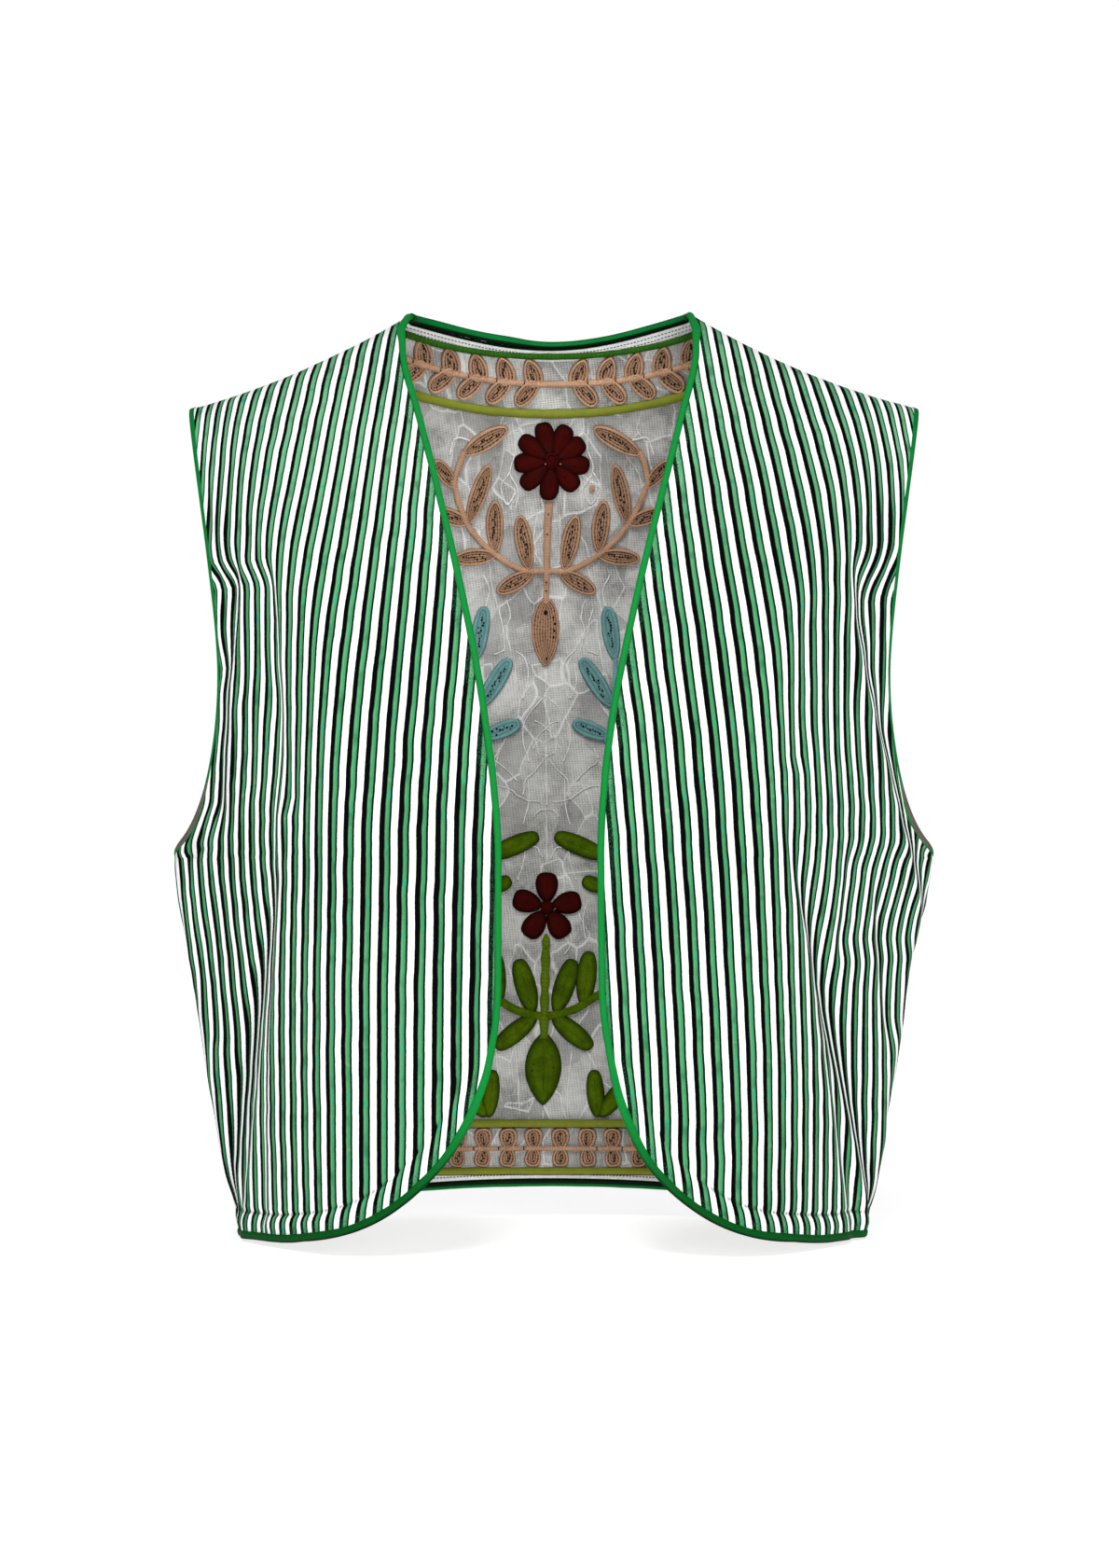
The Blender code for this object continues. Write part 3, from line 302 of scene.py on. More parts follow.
    def _plan(self, height: float) -> tuple[Array, Array, Array, float]:
        """Half the plan outline at a height.

        Args:
            height: Height of the section.

        Returns:
            Distances along the cloth, x and y from centre front to centre back, and the widest place.
        """
        half_width = float(self._column("half_width", height))
        turn_at, turn_width = (float(self._column(name, height)) for name in ("turn_at", "turn_width"))
        side = math.radians(float(self._column("side_angle", height)))
        back = float(self._column("back", height))
        x = np.linspace(0.0, half_width - self.side_round * (1 - math.sin(side)), self.samples)
        bow = np.arctan(2 * self.front_bow * np.minimum(x, turn_at))
        slope = np.tan(bow + (side - bow) / (1 + np.exp(-(x - turn_at) / turn_width)))
        y = float(self._column("front", height)) + np.concatenate(
            ([0.0], np.cumsum(0.5 * (slope[1:] + slope[:-1]) * np.diff(x))))
        heading = np.linspace(side, math.pi / 2, 24)[1:]
        round_x = half_width - self.side_round * (1 - np.sin(heading))
        round_y = y[-1] + self.side_round * (math.cos(side) - np.cos(heading))
        turn = np.linspace(0.0, math.pi / 2, self.samples)[1:]
        back_x = half_width * np.cos(turn) ** (2 / self.back_power)
        back_y = round_y[-1] + (back - round_y[-1]) * np.sin(turn) ** (2 / self.back_power)
        back_x[-1] = 0.0
        x = np.concatenate((x, round_x, back_x))
        y = np.concatenate((y, round_y, back_y))
        along = np.concatenate(([0.0], np.cumsum(np.hypot(np.diff(x), np.diff(y)))))
        return along, x, y, float(along[self.samples + len(round_x) - 1])

    def _read(self, name: str, height: Array, place: Array) -> Array:
        """Read a table between its rows and columns."""
        table = self.tables[name]
        row = np.clip((height - self.low) / self.row_step, 0, table.shape[0] - 1.001)
        column = np.clip(place, 0, table.shape[1] - 1.001)
        r, c = np.floor(row).astype(int), np.floor(column).astype(int)
        a, b = row - r, column - c
        near = table[r, c] * (1 - b) + table[r, c + 1] * b
        far = table[r + 1, c] * (1 - b) + table[r + 1, c + 1] * b
        return near * (1 - a) + far * a

    def widest(self, height: Array) -> Array:
        """Half the width at heights."""
        return self._read("seams", height, np.zeros_like(height))

    def seam(self, height: Array, panel: Panel) -> Array:
        """Distance of the side seam from a panel's own centre."""
        return self._read("seams", height, np.full_like(height, panel.pick(1.0, 1.9999)))

    def along_at(self, height: Array, reach: Array, panel: Panel) -> Array:
        """Distance along the cloth from a panel's centre, at a distance from the middle."""
        height, reach = np.broadcast_arrays(np.asarray(height, float), np.asarray(reach, float))
        place = reach / self.widest(height) / self.reach_shares[1]
        return self._read(panel.pick("fd", "bd"), height, place)

    def ridge(self, reach: Array | float) -> Array:
        """Height of the shoulder line at distances from the middle, level over the centre back."""
        reach = np.asarray(reach, float)
        out = reach - self.neck_reach
        inside = self.shoulder_slope * (self.neck_reach ** 2 - reach ** 2) / (2 * self.neck_reach)
        return np.where(out < 0, inside, -(self.shoulder_slope * out - self.shoulder_ease * out * out))

    def plain(self, height: Array, along: Array, panel: Panel) -> Array:
        """Points of the half form without folds."""
        key = panel.pick("f", "b")
        place = along / self.along_step
        reach, depth = self._read(key + "x", height, place), self._read(key + "y", height, place)
        start = panel.pick(self.chest, self.blades)
        share = clamped((height - start) / (self.ridge(reach) - start))
        out = np.minimum(1.0, reach / self.shoulder_tip)
        fullness = self.shoulder_round + self.shoulder_fuller * out ** 3
        depth = depth * (1 - share ** self.shoulder_power) ** (1 / fullness)
        return np.stack((reach, depth, height), axis=-1)

    def fold_lift(self, folds: Sequence[Fold], side: Side, along: Array, height: Array) -> Array:
        """How far a table's folds lift the cloth."""
        lift = np.zeros_like(along)
        for fold in folds:
            if fold.side != side.value:
                continue
            share = (fold.top - height) / (fold.top - fold.foot)
            centre = fold.top_at + (fold.foot_at - fold.top_at) * share
            ease = np.sin(clamped(share * 1.6) * math.pi / 2) ** 2
            ease *= clamped((1.15 - share) / 0.1)
            lift += fold.depth * ease * hump(along, centre, fold.width)
        return lift

    def placed(self, side: Side, height: Array, along: Array, panel: Panel) -> Array:
        """Points of the garment's outer face, with sway and main folds."""
        point = self.plain(height, along, panel)
        run = self.plain(height, along + self.fine, panel) - self.plain(height, along - self.fine, panel)
        turn = panel.pick(1.0, -1.0)
        outward = unit(np.stack((run[..., 1] * turn, -run[..., 0] * turn, np.zeros_like(height)), axis=-1))
        folds = panel.pick(self.front_folds, self.back_folds)
        calm = np.minimum(np.abs(along - self.seam(height, panel)) / self.seam_calm, 1.0)
        lift = self.fold_lift(folds, side, along, height) * calm * calm * (3 - 2 * calm)
        point = point + outward * lift[..., None]
        point[..., 0] = side.value * point[..., 0] + self._column("sway", height) * np.minimum(
            1.0, point[..., 0] / self.widest(height)) ** 2
        return point

    def faced(self, side: Side, height: Array, along: Array, panel: Panel) -> tuple[Array, Array]:
        """Points of the outer face and their outward directions."""
        point = self.placed(side, height, along, panel)
        fine = self.fine
        across = self.placed(side, height, along + fine, panel)
        across = across - self.placed(side, height, along - fine, panel)
        high = np.minimum(height + fine, -fine / 4)
        up = self.placed(side, high, along, panel) - self.placed(side, height - fine, along, panel)
        normal = unit(np.cross(across, up))
        turn = side.value * panel.pick(1.0, -1.0)
        return point, normal * turn

    def ridge_faced(self, side: Side, reach: Array, depth: float) -> tuple[Array, Array]:
        """Points along the shoulder seam and the directions straight off it."""
        last = self.sections[-1]
        sway = last.sway * np.minimum(1.0, reach / last.half_width) ** 2
        point = np.stack((side.value * reach + sway, np.full_like(reach, depth), self.ridge(reach)), axis=-1)
        fall = (self.ridge(reach - self.fine) - self.ridge(reach + self.fine)) / (2 * self.fine)
        normal = np.stack((side.value * fall, np.zeros_like(reach), np.ones_like(reach)), axis=-1)
        return point, unit(normal)

    def front_edge(self, side: Side, height: Array | float) -> Array:
        """Distance of a front's cut edge from the middle at heights."""
        height = np.asarray(height, float)
        start = TRIM + side.value * self.opening_shift
        straight = smooth_through(*zip(*self.front_edges), height)
        drop = clamped((self.corner_top - height) / (self.corner_top - self.cut_hem))
        round_in = 1 - (1 - drop ** self.corner_power) ** (1 / self.corner_power)
        near = clamped(1 + height / 0.012)
        turn_in = (self.turned_in - self.turned_uneven * side.value) * near * near * (3 - 2 * near)
        return (start + straight - turn_in + self.hang_over(side, height)
                + np.where(height < self.corner_top, self.corner_reach * round_in, 0.0))

    def hang_over(self, side: Side, height: Array | float) -> Array:
        """How far a front edge hangs out from its cut at heights, a little unevenly."""
        return np.interp(height, *zip(*(self.left_hang if side is Side.LEFT else self.right_hang)))

    def front_hem_at(self, side: Side, reach: Array, share: Array) -> Array:
        """Heights of a front's cut hem."""
        uneven = self.hang_over(side, self.split_height) - self.hang_over(side, self.corner_top)
        across = clamped((reach - self.front_edge(side, self.corner_top) - uneven) / self.corner_reach)
        fall = (1 - (1 - across) ** self.corner_power) ** (1 / self.corner_power)
        dip = clamped((share - self.hem_level) / (1 - self.hem_level))
        sag = self.hem_sag * hump(reach, self.sag_at, self.sag_width)
        curve = self.corner_top - (self.corner_top - self.cut_hem) * fall
        return curve - self.side_hem_dip * dip * dip * (3 - 2 * dip) - sag

    def back_neck(self, side: Side, reach: Array) -> Array:
        """Heights of the back neck's cut line."""
        end = self.front_edge(side, 0.0)
        share = 1 - (1 - np.minimum(reach / end, 1.0) ** 2) ** self.neck_curve
        return -(self.back_neck_drop + TRIM) * (1 - share) + self.ridge(end) * share

    def back_hem_at(self, share: Array) -> Array:
        """Heights of the back's cut hem, by the share of the way from the centre to the seam."""
        return self.back_hem + TRIM + (self.cut_side_hem - self.back_hem - TRIM) * share * share

    def armhole(self, height: Array, panel: Panel) -> Array:
        """Distance of an armhole's cut line from the panel's centre at heights."""
        reach = panel.pick(self.front_armhole_reach, self.back_armhole_reach)
        reach -= ARMHOLE_TRIM * self.edge_slant
        height = np.asarray(height, float)
        climb = clamped((height - self.armhole_waist) / (self.ridge(self.tip_cut) - self.armhole_waist))
        above = self.along_at(height, reach + (self.tip_cut - reach) * climb ** self.armhole_power, panel)
        waist = np.full_like(height, self.armhole_waist)
        short = self.along_at(waist, reach, panel) - self.seam(waist, panel)
        drop = clamped((self.armhole_waist - height) / (self.armhole_waist - self.armhole_floor))
        below = self.seam(height, panel) + short * np.sqrt(1 - drop * drop)
        return np.where(height >= self.armhole_waist, above, below)


@dataclass
class ClothGrid:
    """A panel's points in rows from the shoulder down and columns across."""

    height: Array
    along: Array
    points: Array
    normals: Array

    def moved(self, distance: Array | float) -> Array:
        """The points moved out along their directions."""
        lift = np.broadcast_to(np.asarray(distance, float), self.height.shape)
        return self.points + self.normals * lift[..., None]

    def cloth_length(self) -> Array:
        """Height of every point when its column is pulled straight up from the hem."""
        steps = np.linalg.norm(np.diff(self.points, axis=0), axis=-1)
        climb = np.concatenate((np.cumsum(steps[::-1], axis=0)[::-1], np.zeros((1, steps.shape[1]))), axis=0)
        return self.height[-1] + climb


@dataclass
class PanelCutter:
    """Cuts fine grids of the fronts and the back out of the hanging form."""

    form: HangingForm
    front_columns: int = 200
    neck_columns: int = 40
    shoulder_columns: int = 64
    shoulder_rows: int = 64
    armhole_rows: int = 56
    skirt_rows: int = 84
    crowding: float = 1.7
    passes: int = 14

    def _climbs(self) -> Array:
        """Shares of the way up to the shoulder line, from the top down."""
        return 1 - (1 - np.arange(self.shoulder_rows, 0, -1) / self.shoulder_rows) ** self.crowding

    def _outer_reach(self, start: float, climbs: Array, panel: Panel) -> Array:
        """Distances of the armhole's cut line from the middle at shares of the way up."""
        reach = np.full_like(climbs, self.form.tip_cut)
        for _ in range(self.passes):
            height = start + climbs * (self.form.ridge(reach) - start)
            reach = self.form.plain(height, self.form.armhole(height, panel), panel)[..., 0]
        return reach

    def _outer_line(self, start: float, panel: Panel) -> tuple[Array, Array]:
        """Heights and distances of a panel's outer edge from a start down to the hem."""
        form = self.form
        depth = form.armhole_waist - form.armhole_floor
        first = math.asin((form.armhole_waist - start) / depth)
        heights = form.armhole_waist - depth * np.sin(np.linspace(first, math.pi / 2, self.armhole_rows + 1))
        along = form.armhole(heights, panel)
        along[-1] = form.seam(heights[-1:], panel)[0] - GAP / 2
        below = np.linspace(form.armhole_floor, form.cut_side_hem, self.skirt_rows + 1)[1:]
        return np.concatenate((heights, below)), np.concatenate((along, form.seam(below, panel) - GAP / 2))

    def _finish(self, side: Side, panel: Panel, height: Array, along: Array, ridge_reach: Array,
                is_ridge: Array, depth: float) -> ClothGrid:
        """Place a panel's points and set its top row on the shoulder seam."""
        points, normals = self.form.faced(side, height, along, panel)
        top_points, top_normals = self.form.ridge_faced(side, ridge_reach, depth)
        points[0][is_ridge], normals[0][is_ridge] = top_points[is_ridge], top_normals[is_ridge]
        return ClothGrid(height, along, points, normals)

    def front(self, side: Side) -> ClothGrid:
        """A front's outer face, columns from the front edge out."""
        form, panel = self.form, Panel.FRONT
        spots = np.linspace(0.0, 1.0, self.front_columns + 1)
        level = np.full_like(spots, form.chest)
        edge_reach = float(form.front_edge(side, form.chest))
        outer = self._outer_reach(form.chest, np.zeros(1), panel)[0]
        first = float(form.along_at(form.chest, edge_reach, panel))
        last = float(form.armhole(np.array([form.chest]), panel)[0])
        reaches = form.plain(level, first + (last - first) * spots, panel)[..., 0]
        shares = (reaches - edge_reach) / (outer - edge_reach)
        climbs = self._climbs()
        far = self._outer_reach(form.chest, climbs, panel)
        near = np.full_like(climbs, float(form.front_edge(side, 0.0)))
        for _ in range(self.passes):
            level = form.chest + climbs * (form.ridge(near) - form.chest)
            near = form.front_edge(side, np.minimum(level, 0.0))
        reach = near[:, None] + (far - near)[:, None] * shares
        height = form.chest + climbs[:, None] * (form.ridge(reach) - form.chest)
        along = form.along_at(height, reach, panel)
        outer_height, outer_along = self._outer_line(form.chest, panel)
        low = np.full_like(spots, form.cut_side_hem)
        split = float(form.front_edge(side, form.split_height))
        start = float(form.along_at(form.cut_side_hem, split, panel))
        foot_reach = form.plain(low, start + (outer_along[-1] - start) * spots, panel)[..., 0]
        feet = form.front_hem_at(side, foot_reach, spots)
        down = (form.chest - outer_height) / (form.chest - form.cut_side_hem)
        edge_height = form.chest + (form.split_height - form.chest) * down
        edge_along = form.along_at(edge_height, form.front_edge(side, edge_height), panel)
        skirt_height = form.chest + (feet - form.chest) * down[:, None]
        skirt_along = edge_along[:, None] + (outer_along - edge_along)[:, None] * spots
        return self._finish(side, panel, np.concatenate((height, skirt_height)),
                            np.concatenate((along, skirt_along)), reach[0], np.ones(len(spots), bool),
                            -GAP / 2)

    def half_back(self, side: Side) -> ClothGrid:
        """Half the back's outer face, columns from the centre out."""
        form, panel = self.form, Panel.BACK
        neck_share = float(form.front_edge(side, 0.0)) / form.tip_cut
        shares = np.concatenate((np.linspace(0.0, neck_share, self.neck_columns + 1)[:-1],
                                 np.linspace(neck_share, 1.0, self.shoulder_columns + 1)))
        is_neck = shares < neck_share - 1e-6
        end = self._outer_reach(form.blades, np.zeros(1), panel)[0]
        last = float(form.armhole(np.array([form.blades]), panel)[0])
        spots = form.along_at(np.full_like(shares, form.blades), shares * end, panel) / last
        climbs = self._climbs()
        reach = self._outer_reach(form.blades, climbs, panel)[:, None] * shares
        top = np.where(is_neck, form.back_neck(side, reach), form.ridge(reach))
        height = form.blades + climbs[:, None] * (top - form.blades)
        along = form.along_at(height, reach, panel)
        outer_height, outer_along = self._outer_line(form.blades, panel)
        down = (form.blades - outer_height) / (form.blades - form.cut_side_hem)
        skirt_height = form.blades + (form.back_hem_at(spots) - form.blades) * down[:, None]
        skirt_along = outer_along[:, None] * spots
        return self._finish(side, panel, np.concatenate((height, skirt_height)),
                            np.concatenate((along, skirt_along)), reach[0], ~is_neck, GAP / 2)

    def back(self) -> ClothGrid:
        """The whole back's outer face, from the wearer's right to the left."""
        right, left = self.half_back(Side.RIGHT), self.half_back(Side.LEFT)
        signs = (("height", 1), ("along", -1), ("points", 1), ("normals", 1))
        return ClothGrid(*(np.concatenate((sign * getattr(right, name)[:, :0:-1], getattr(left, name)), 1)
                           for name, sign in signs))


# ------------------------------ meshes


def make_piece(name: str, points: Array, faces: Array, maps: dict[str, Array] | None = None,
               materials: Sequence[Material] = (), face_material: Array | None = None) -> bpy.types.Object:
    """Make an object from arrays.

    Args:
        name: The object's name.
        points: Vertex positions.
        faces: Rows of four vertex numbers; a row that repeats its last number is a triangle.
        maps: UV maps by name, each with two values for every vertex.
        materials: The materials in order.
        face_material: Which material each face has.

    Returns:
        The new object, shaded smooth.
    """
    triangle = faces[:, 3] == faces[:, 2]
    sizes = np.where(triangle, 3, 4)
    starts = np.concatenate(([0], np.cumsum(sizes)[:-1]))
    keep = np.ones(faces.shape, bool)
    keep[:, 3] = ~triangle
    corners = faces[keep]
    mesh = bpy.data.meshes.new(name)
    mesh.vertices.add(len(points))
    mesh.vertices.foreach_set("co", np.ascontiguousarray(points, np.float32).ravel())
    mesh.loops.add(len(corners))
    mesh.loops.foreach_set("vertex_index", corners.astype(np.int32))
    mesh.polygons.add(len(faces))
    mesh.polygons.foreach_set("loop_start", starts.astype(np.int32))
    if face_material is not None:
        mesh.polygons.foreach_set("material_index", face_material.astype(np.int32))
    for title, values in (maps or {}).items():
        layer = mesh.uv_layers.new(name=title)
        layer.data.foreach_set("uv", np.ascontiguousarray(values[corners], np.float32).ravel())
    mesh.update(calc_edges=True)
    mesh.validate()
    mesh.shade_smooth()
    for material in materials:
        mesh.materials.append(material)
    piece = bpy.data.objects.new(name, mesh)
    bpy.context.scene.collection.objects.link(piece)
    return piece


def grid_faces(rows: int, columns: int, start: int = 0, flip: bool = False) -> Array:
    """Faces between the points of a grid."""
    r = np.arange(rows - 1)[:, None]
    c = np.arange(columns - 1)[None, :]
    after = c + 1
    near, far = r * columns, (r + 1) * columns
    quads = np.stack((near + c, near + after, far + after, far + c), -1)
    quads = quads.reshape(-1, 4) + start
    return quads[:, ::-1] if flip else quads


def shell(outer: Array, inner: Array) -> tuple[Array, Array, Array]:
    """A closed wall between two grids.

    Args:
        outer: Points of the outer face.
        inner: Points of the inner face.

    Returns:
        Points, faces, and 1 for each face that isn't on the outside.
    """
    rows, columns = outer.shape[:2]
    count = rows * columns
    number = np.arange(count).reshape(rows, columns)
    rim = np.concatenate((number[0], number[1:, -1], number[-1, -2::-1], number[-2:0:-1, 0]))
    ahead = np.roll(rim, -1)
    sides = np.stack((rim, rim + count, ahead + count, ahead), -1)
    faces = np.concatenate((grid_faces(rows, columns), grid_faces(rows, columns, count, flip=True), sides))
    inside = (np.arange(len(faces)) >= (rows - 1) * (columns - 1)).astype(float)
    return np.concatenate((outer.reshape(-1, 3), inner.reshape(-1, 3))), faces, inside


class Strip(NamedTuple):
    """Points and faces of a swept strip with its map: round it and along it in metres."""

    points: Array
    faces: Array
    around: Array


def sweep(path: Array, across: Array, lift: Array, widths: Array, depths: Array, sides: int = 12,
          closed: bool = False, squareness: float = 1.0) -> Strip:
    """Sweep a rounded strip along a path.

    Args:
        path: Points of its middle.
        across: Directions in the cloth.
        lift: Directions off the cloth.
        widths: Half sizes along across, one for each point.
        depths: Half sizes along lift.
        sides: Corners of the strip's section.
        closed: Join the last point to the first.
        squareness: Below 1 the section is boxier than an ellipse.

    Returns:
        The strip.
    """
    count = len(path)
    turn = 2 * math.pi * (np.arange(sides) + 0.5) / sides
    wide = np.sign(np.cos(turn)) * np.abs(np.cos(turn)) ** squareness
    high = np.sign(np.sin(turn)) * np.abs(np.sin(turn)) ** squareness
    points = (path[:, None] + across[:, None] * (widths[:, None] * wide)[..., None]
              + lift[:, None] * (depths[:, None] * high)[..., None]).reshape(-1, 3)
    run = run_along(path)
    around = np.stack((np.tile(np.arange(sides) / sides, count), np.repeat(run, sides)), -1)
    rows = np.concatenate((np.arange(count), [0])) if closed else np.arange(count)
    a, b = rows[:-1, None] * sides, rows[1:, None] * sides
    k = np.arange(sides)[None, :]
    after = (k + 1) % sides
    faces = np.stack((a + k, a + after, b + after, b + k), -1).reshape(-1, 4)
    if not closed:
        caps = []
        for row, order in ((0, 1), (count - 1, -1)):
            ring = np.arange(sides)[::order] + row * sides
            caps += [(ring[0], ring[j], ring[j + 1], ring[j + 1]) for j in range(1, sides - 1)]
        faces = np.concatenate((faces, np.array(caps)))
    return Strip(points, faces, around)


def joined(strips: Sequence[Strip]) -> Strip:
    """Several strips as one."""
    starts = np.concatenate(([0], np.cumsum([len(strip.points) for strip in strips])[:-1]))
    return Strip(np.concatenate([strip.points for strip in strips]),
                 np.concatenate([strip.faces + start for strip, start in zip(strips, starts)]),
                 np.concatenate([strip.around for strip in strips]))


def frames_along(path: Array, normal: Array, closed: bool = False) -> tuple[Array, Array]:
    """Directions across a path within the cloth, and off it."""
    if closed:
        along = unit(np.roll(path, -1, axis=0) - np.roll(path, 1, axis=0))
    else:
        along = unit(np.gradient(path, axis=0))
    across = unit(np.cross(along, normal))
    return across, unit(np.cross(across, along))


# ------------------------------ shader building


Socket = bpy.types.NodeSocket
Colour = tuple[float, float, float]


def math_step(operation: str, turned: bool = False) -> Callable[..., "Wire"]:
    """A method that puts its wire, and another value after or before it, through a Math node."""
    def step(self: "Wire", other: "Value" = 0.0) -> "Wire":
        """Place the node."""
        return self.sketch.math(operation, *((other, self) if turned else (self, other)))
    return step


@dataclass(frozen=True)
class Wire:
    """A node's output, which takes plain arithmetic."""

    sketch: "Sketch"
    socket: Socket

    __add__, __radd__ = math_step("ADD"), math_step("ADD", turned=True)
    __sub__, __rsub__ = math_step("SUBTRACT"), math_step("SUBTRACT", turned=True)
    __mul__, __rmul__ = math_step("MULTIPLY"), math_step("MULTIPLY", turned=True)
    __truediv__, __rtruediv__ = math_step("DIVIDE"), math_step("DIVIDE", turned=True)
    __pow__, __abs__ = math_step("POWER"), math_step("ABSOLUTE")
    sine, fract, floor, at_least = (math_step(name) for name in ("SINE", "FRACT", "FLOOR", "MAXIMUM"))

    def ramp(self, low: "Value", high: "Value", out_low: float = 0.0, out_high: float = 1.0) -> "Wire":
        """A smooth step between two values."""
        return self.sketch.node("MapRange", {0: self, 1: low, 2: high, 3: out_low, 4: out_high},
                                interpolation_type="SMOOTHSTEP").out()

    def fall(self, low: "Value", high: "Value") -> "Wire":
        """A smooth step from 1 down to 0."""
        return self.ramp(low, high, 1.0, 0.0)


Value = float | Wire


class Placed(NamedTuple):
    """A placed node, whose outputs are read by name or number."""

    sketch: "Sketch"
    made: bpy.types.Node

    def out(self, key: str | int = 0) -> Wire:
        """One output."""
        return Wire(self.sketch, self.made.outputs[key])


@dataclass
class Sketch:
    """Short ways to place and join shader nodes."""

    tree: Tree

    def put(self, socket: Socket, value: object) -> None:
        """Link a socket or set its own value."""
        if isinstance(value, Wire):
            self.tree.links.new(value.socket, socket)
        elif socket.type == "RGBA" and len(value) == 3:
            socket.default_value = (*value, 1.0)
        else:
            socket.default_value = value

    def node(self, kind: str, inputs: dict[str | int, object] | None = None, **settings: object) -> Placed:
        """Place a node with its settings and inputs."""
        placed = self.tree.nodes.new("ShaderNode" + kind)
        for name, value in settings.items():
            setattr(placed, name, value)
        for key, value in (inputs or {}).items():
            self.put(placed.inputs[key], value)
        return Placed(self, placed)

    def math(self, operation: str, a: Value, b: Value = 0.0, clamp: bool = False) -> Wire:
        """A Math node's result."""
        return self.node("Math", {0: a, 1: b}, operation=operation, use_clamp=clamp).out()

    def mix(self, factor: Value, a: object, b: object) -> Wire:
        """A colour between two colours."""
        return self.node("Mix", {0: factor, 6: a, 7: b}, data_type="RGBA").out(2)

    def noise(self, vector: Wire, scale: Value, detail: float = 2.0, roughness: float = 0.5) -> Wire:
        """Soft noise over a vector."""
        return self.node("TexNoise", {"Vector": vector, "Scale": scale, "Detail": detail,
                                      "Roughness": roughness}).out()

    def axes(self, vector: Wire) -> tuple[Wire, Wire]:
        """The first two parts of a vector."""
        parts = self.node("SeparateXYZ", {0: vector})
        return parts.out(0), parts.out(1)

    def map_axes(self, name: str) -> tuple[Wire, Wire]:
        """The two parts of a UV map."""
        return self.axes(self.node("UVMap", uv_map=name).out())

    def vector(self, x: Value, y: Value) -> Wire:
        """A flat vector from its parts."""
        return self.node("CombineXYZ", {0: x, 1: y}).out()

    def group(self, tree: Tree, inputs: dict[str, object]) -> Placed:
        """Place a node group with its inputs."""
        return self.node("Group", inputs, node_tree=tree)


def new_group(name: str, inputs: dict[str, tuple[str, float]],
              outputs: dict[str, str]) -> tuple[Sketch, dict[str, Wire], dict[str, Socket]]:
    """Start a shader node group."""
    tree = bpy.data.node_groups.new(name, "ShaderNodeTree")
    for title, (kind, value) in inputs.items():
        socket = tree.interface.new_socket(title, in_out="INPUT", socket_type="NodeSocket" + kind)
        if kind == "Float":
            socket.default_value = value
    for title, kind in outputs.items():
        tree.interface.new_socket(title, in_out="OUTPUT", socket_type="NodeSocket" + kind)
    start, end = tree.nodes.new("NodeGroupInput"), tree.nodes.new("NodeGroupOutput")
    sketch = Sketch(tree)
    given = {socket.name: Wire(sketch, socket) for socket in start.outputs if socket.name}
    return sketch, given, {socket.name: socket for socket in end.inputs if socket.name}


class Effects:
    """Shader groups that several finishes share, each built once."""

    def __init__(self) -> None:
        """Build every group."""
        self.weave = self._weave()
        self.mottle = self._mottle()
        self.twist = self._twist()

    def _weave(self) -> Tree:
        """Small uneven threads across and along: a height and a shade."""
        sketch, given, out = new_group("thread_weave", {"Place": ("Vector", 0), "Thread": ("Float", 0.0006),
                                                        "Slant": ("Float", 0.5)},
                                       {"Height": "Float", "Shade": "Float"})
        across, along = sketch.axes(given["Place"])
        turn = 2 * math.pi / given["Thread"]
        wobble = sketch.noise(given["Place"], 260.0) * 2.4
        warp = across * turn + wobble
        weft = along * turn + wobble
        lean = warp + weft * given["Slant"]
        cross = lean.sine() * weft.sine()
        sketch.put(out["Height"], cross * 0.5 + 0.5)
        uneven = sketch.noise(given["Place"], 1400.0, 3.0, 0.7)
        sketch.put(out["Shade"], cross * 0.3 + uneven)
        return sketch.tree

    def _mottle(self) -> Tree:
        """Broad and fine unevenness of a dyed cloth, each from 0 to 1."""
        sketch, given, out = new_group("dye_mottle", {"Place": ("Vector", 0), "Scale": ("Float", 60.0)},
                                       {"Broad": "Float", "Fine": "Float"})
        broad = sketch.noise(given["Place"], given["Scale"], 3.0)
        fine = sketch.noise(given["Place"], given["Scale"] * 7.0, 4.0, 0.7)
        sketch.put(out["Broad"], broad.ramp(0.32, 0.68))
        sketch.put(out["Fine"], fine.ramp(0.3, 0.7))
        return sketch.tree

    def _twist(self) -> Tree:
        """A twisted or chain-stitched cord: its height, and masks for painted shade in its grooves, between
        its rows, on its inner rows and in the holes between two rows.
        """
        sketch, given, out = new_group("cord_twist", {"Place": ("Vector", 0), "Stitch": ("Float", 0.0022),
                                                      "Lean": ("Float", 1.0)},
                                       {"Height": "Float", "Groove": "Float", "Seams": "Float",
                                        "Inner": "Float", "Holes": "Float"})
        around, along = sketch.axes(given["Place"])
        sketch.put(out["Inner"], around.ramp(0.8, 1.15))
        steps = along / given["Stitch"]
        phase = steps + around * given["Lean"]
        wave = abs((phase * math.pi).sine())
        sketch.put(out["Height"], wave ** 0.5)
        sketch.put(out["Groove"], wave.fall(0.0, 0.35))
        between = abs((around + 0.5).fract() - 0.5)
        sketch.put(out["Seams"], between.fall(0.05, 0.32) * around.ramp(0.6, 0.7))
        row = between.fall(0.1, 0.34) * around.ramp(0.75, 0.85)
        spot = abs((steps * (math.pi * 0.55)).sine())
        some = sketch.noise(sketch.vector(around, steps), 0.9, 1.0).ramp(0.42, 0.5)
        sketch.put(out["Holes"], row * spot.ramp(0.45, 0.7) * some)
        return sketch.tree


def start_material(name: str, roughness: float,
                   gloss: float = 0.02) -> tuple[Material, Sketch, bpy.types.Node]:
    """A new material with its sketch and its Principled shader."""
    material = bpy.data.materials.new(name)
    material.use_nodes = True
    shader = material.node_tree.nodes["Principled BSDF"]
    shader.inputs["Roughness"].default_value = roughness
    shader.inputs["Specular IOR Level"].default_value = gloss
    return material, Sketch(material.node_tree), shader


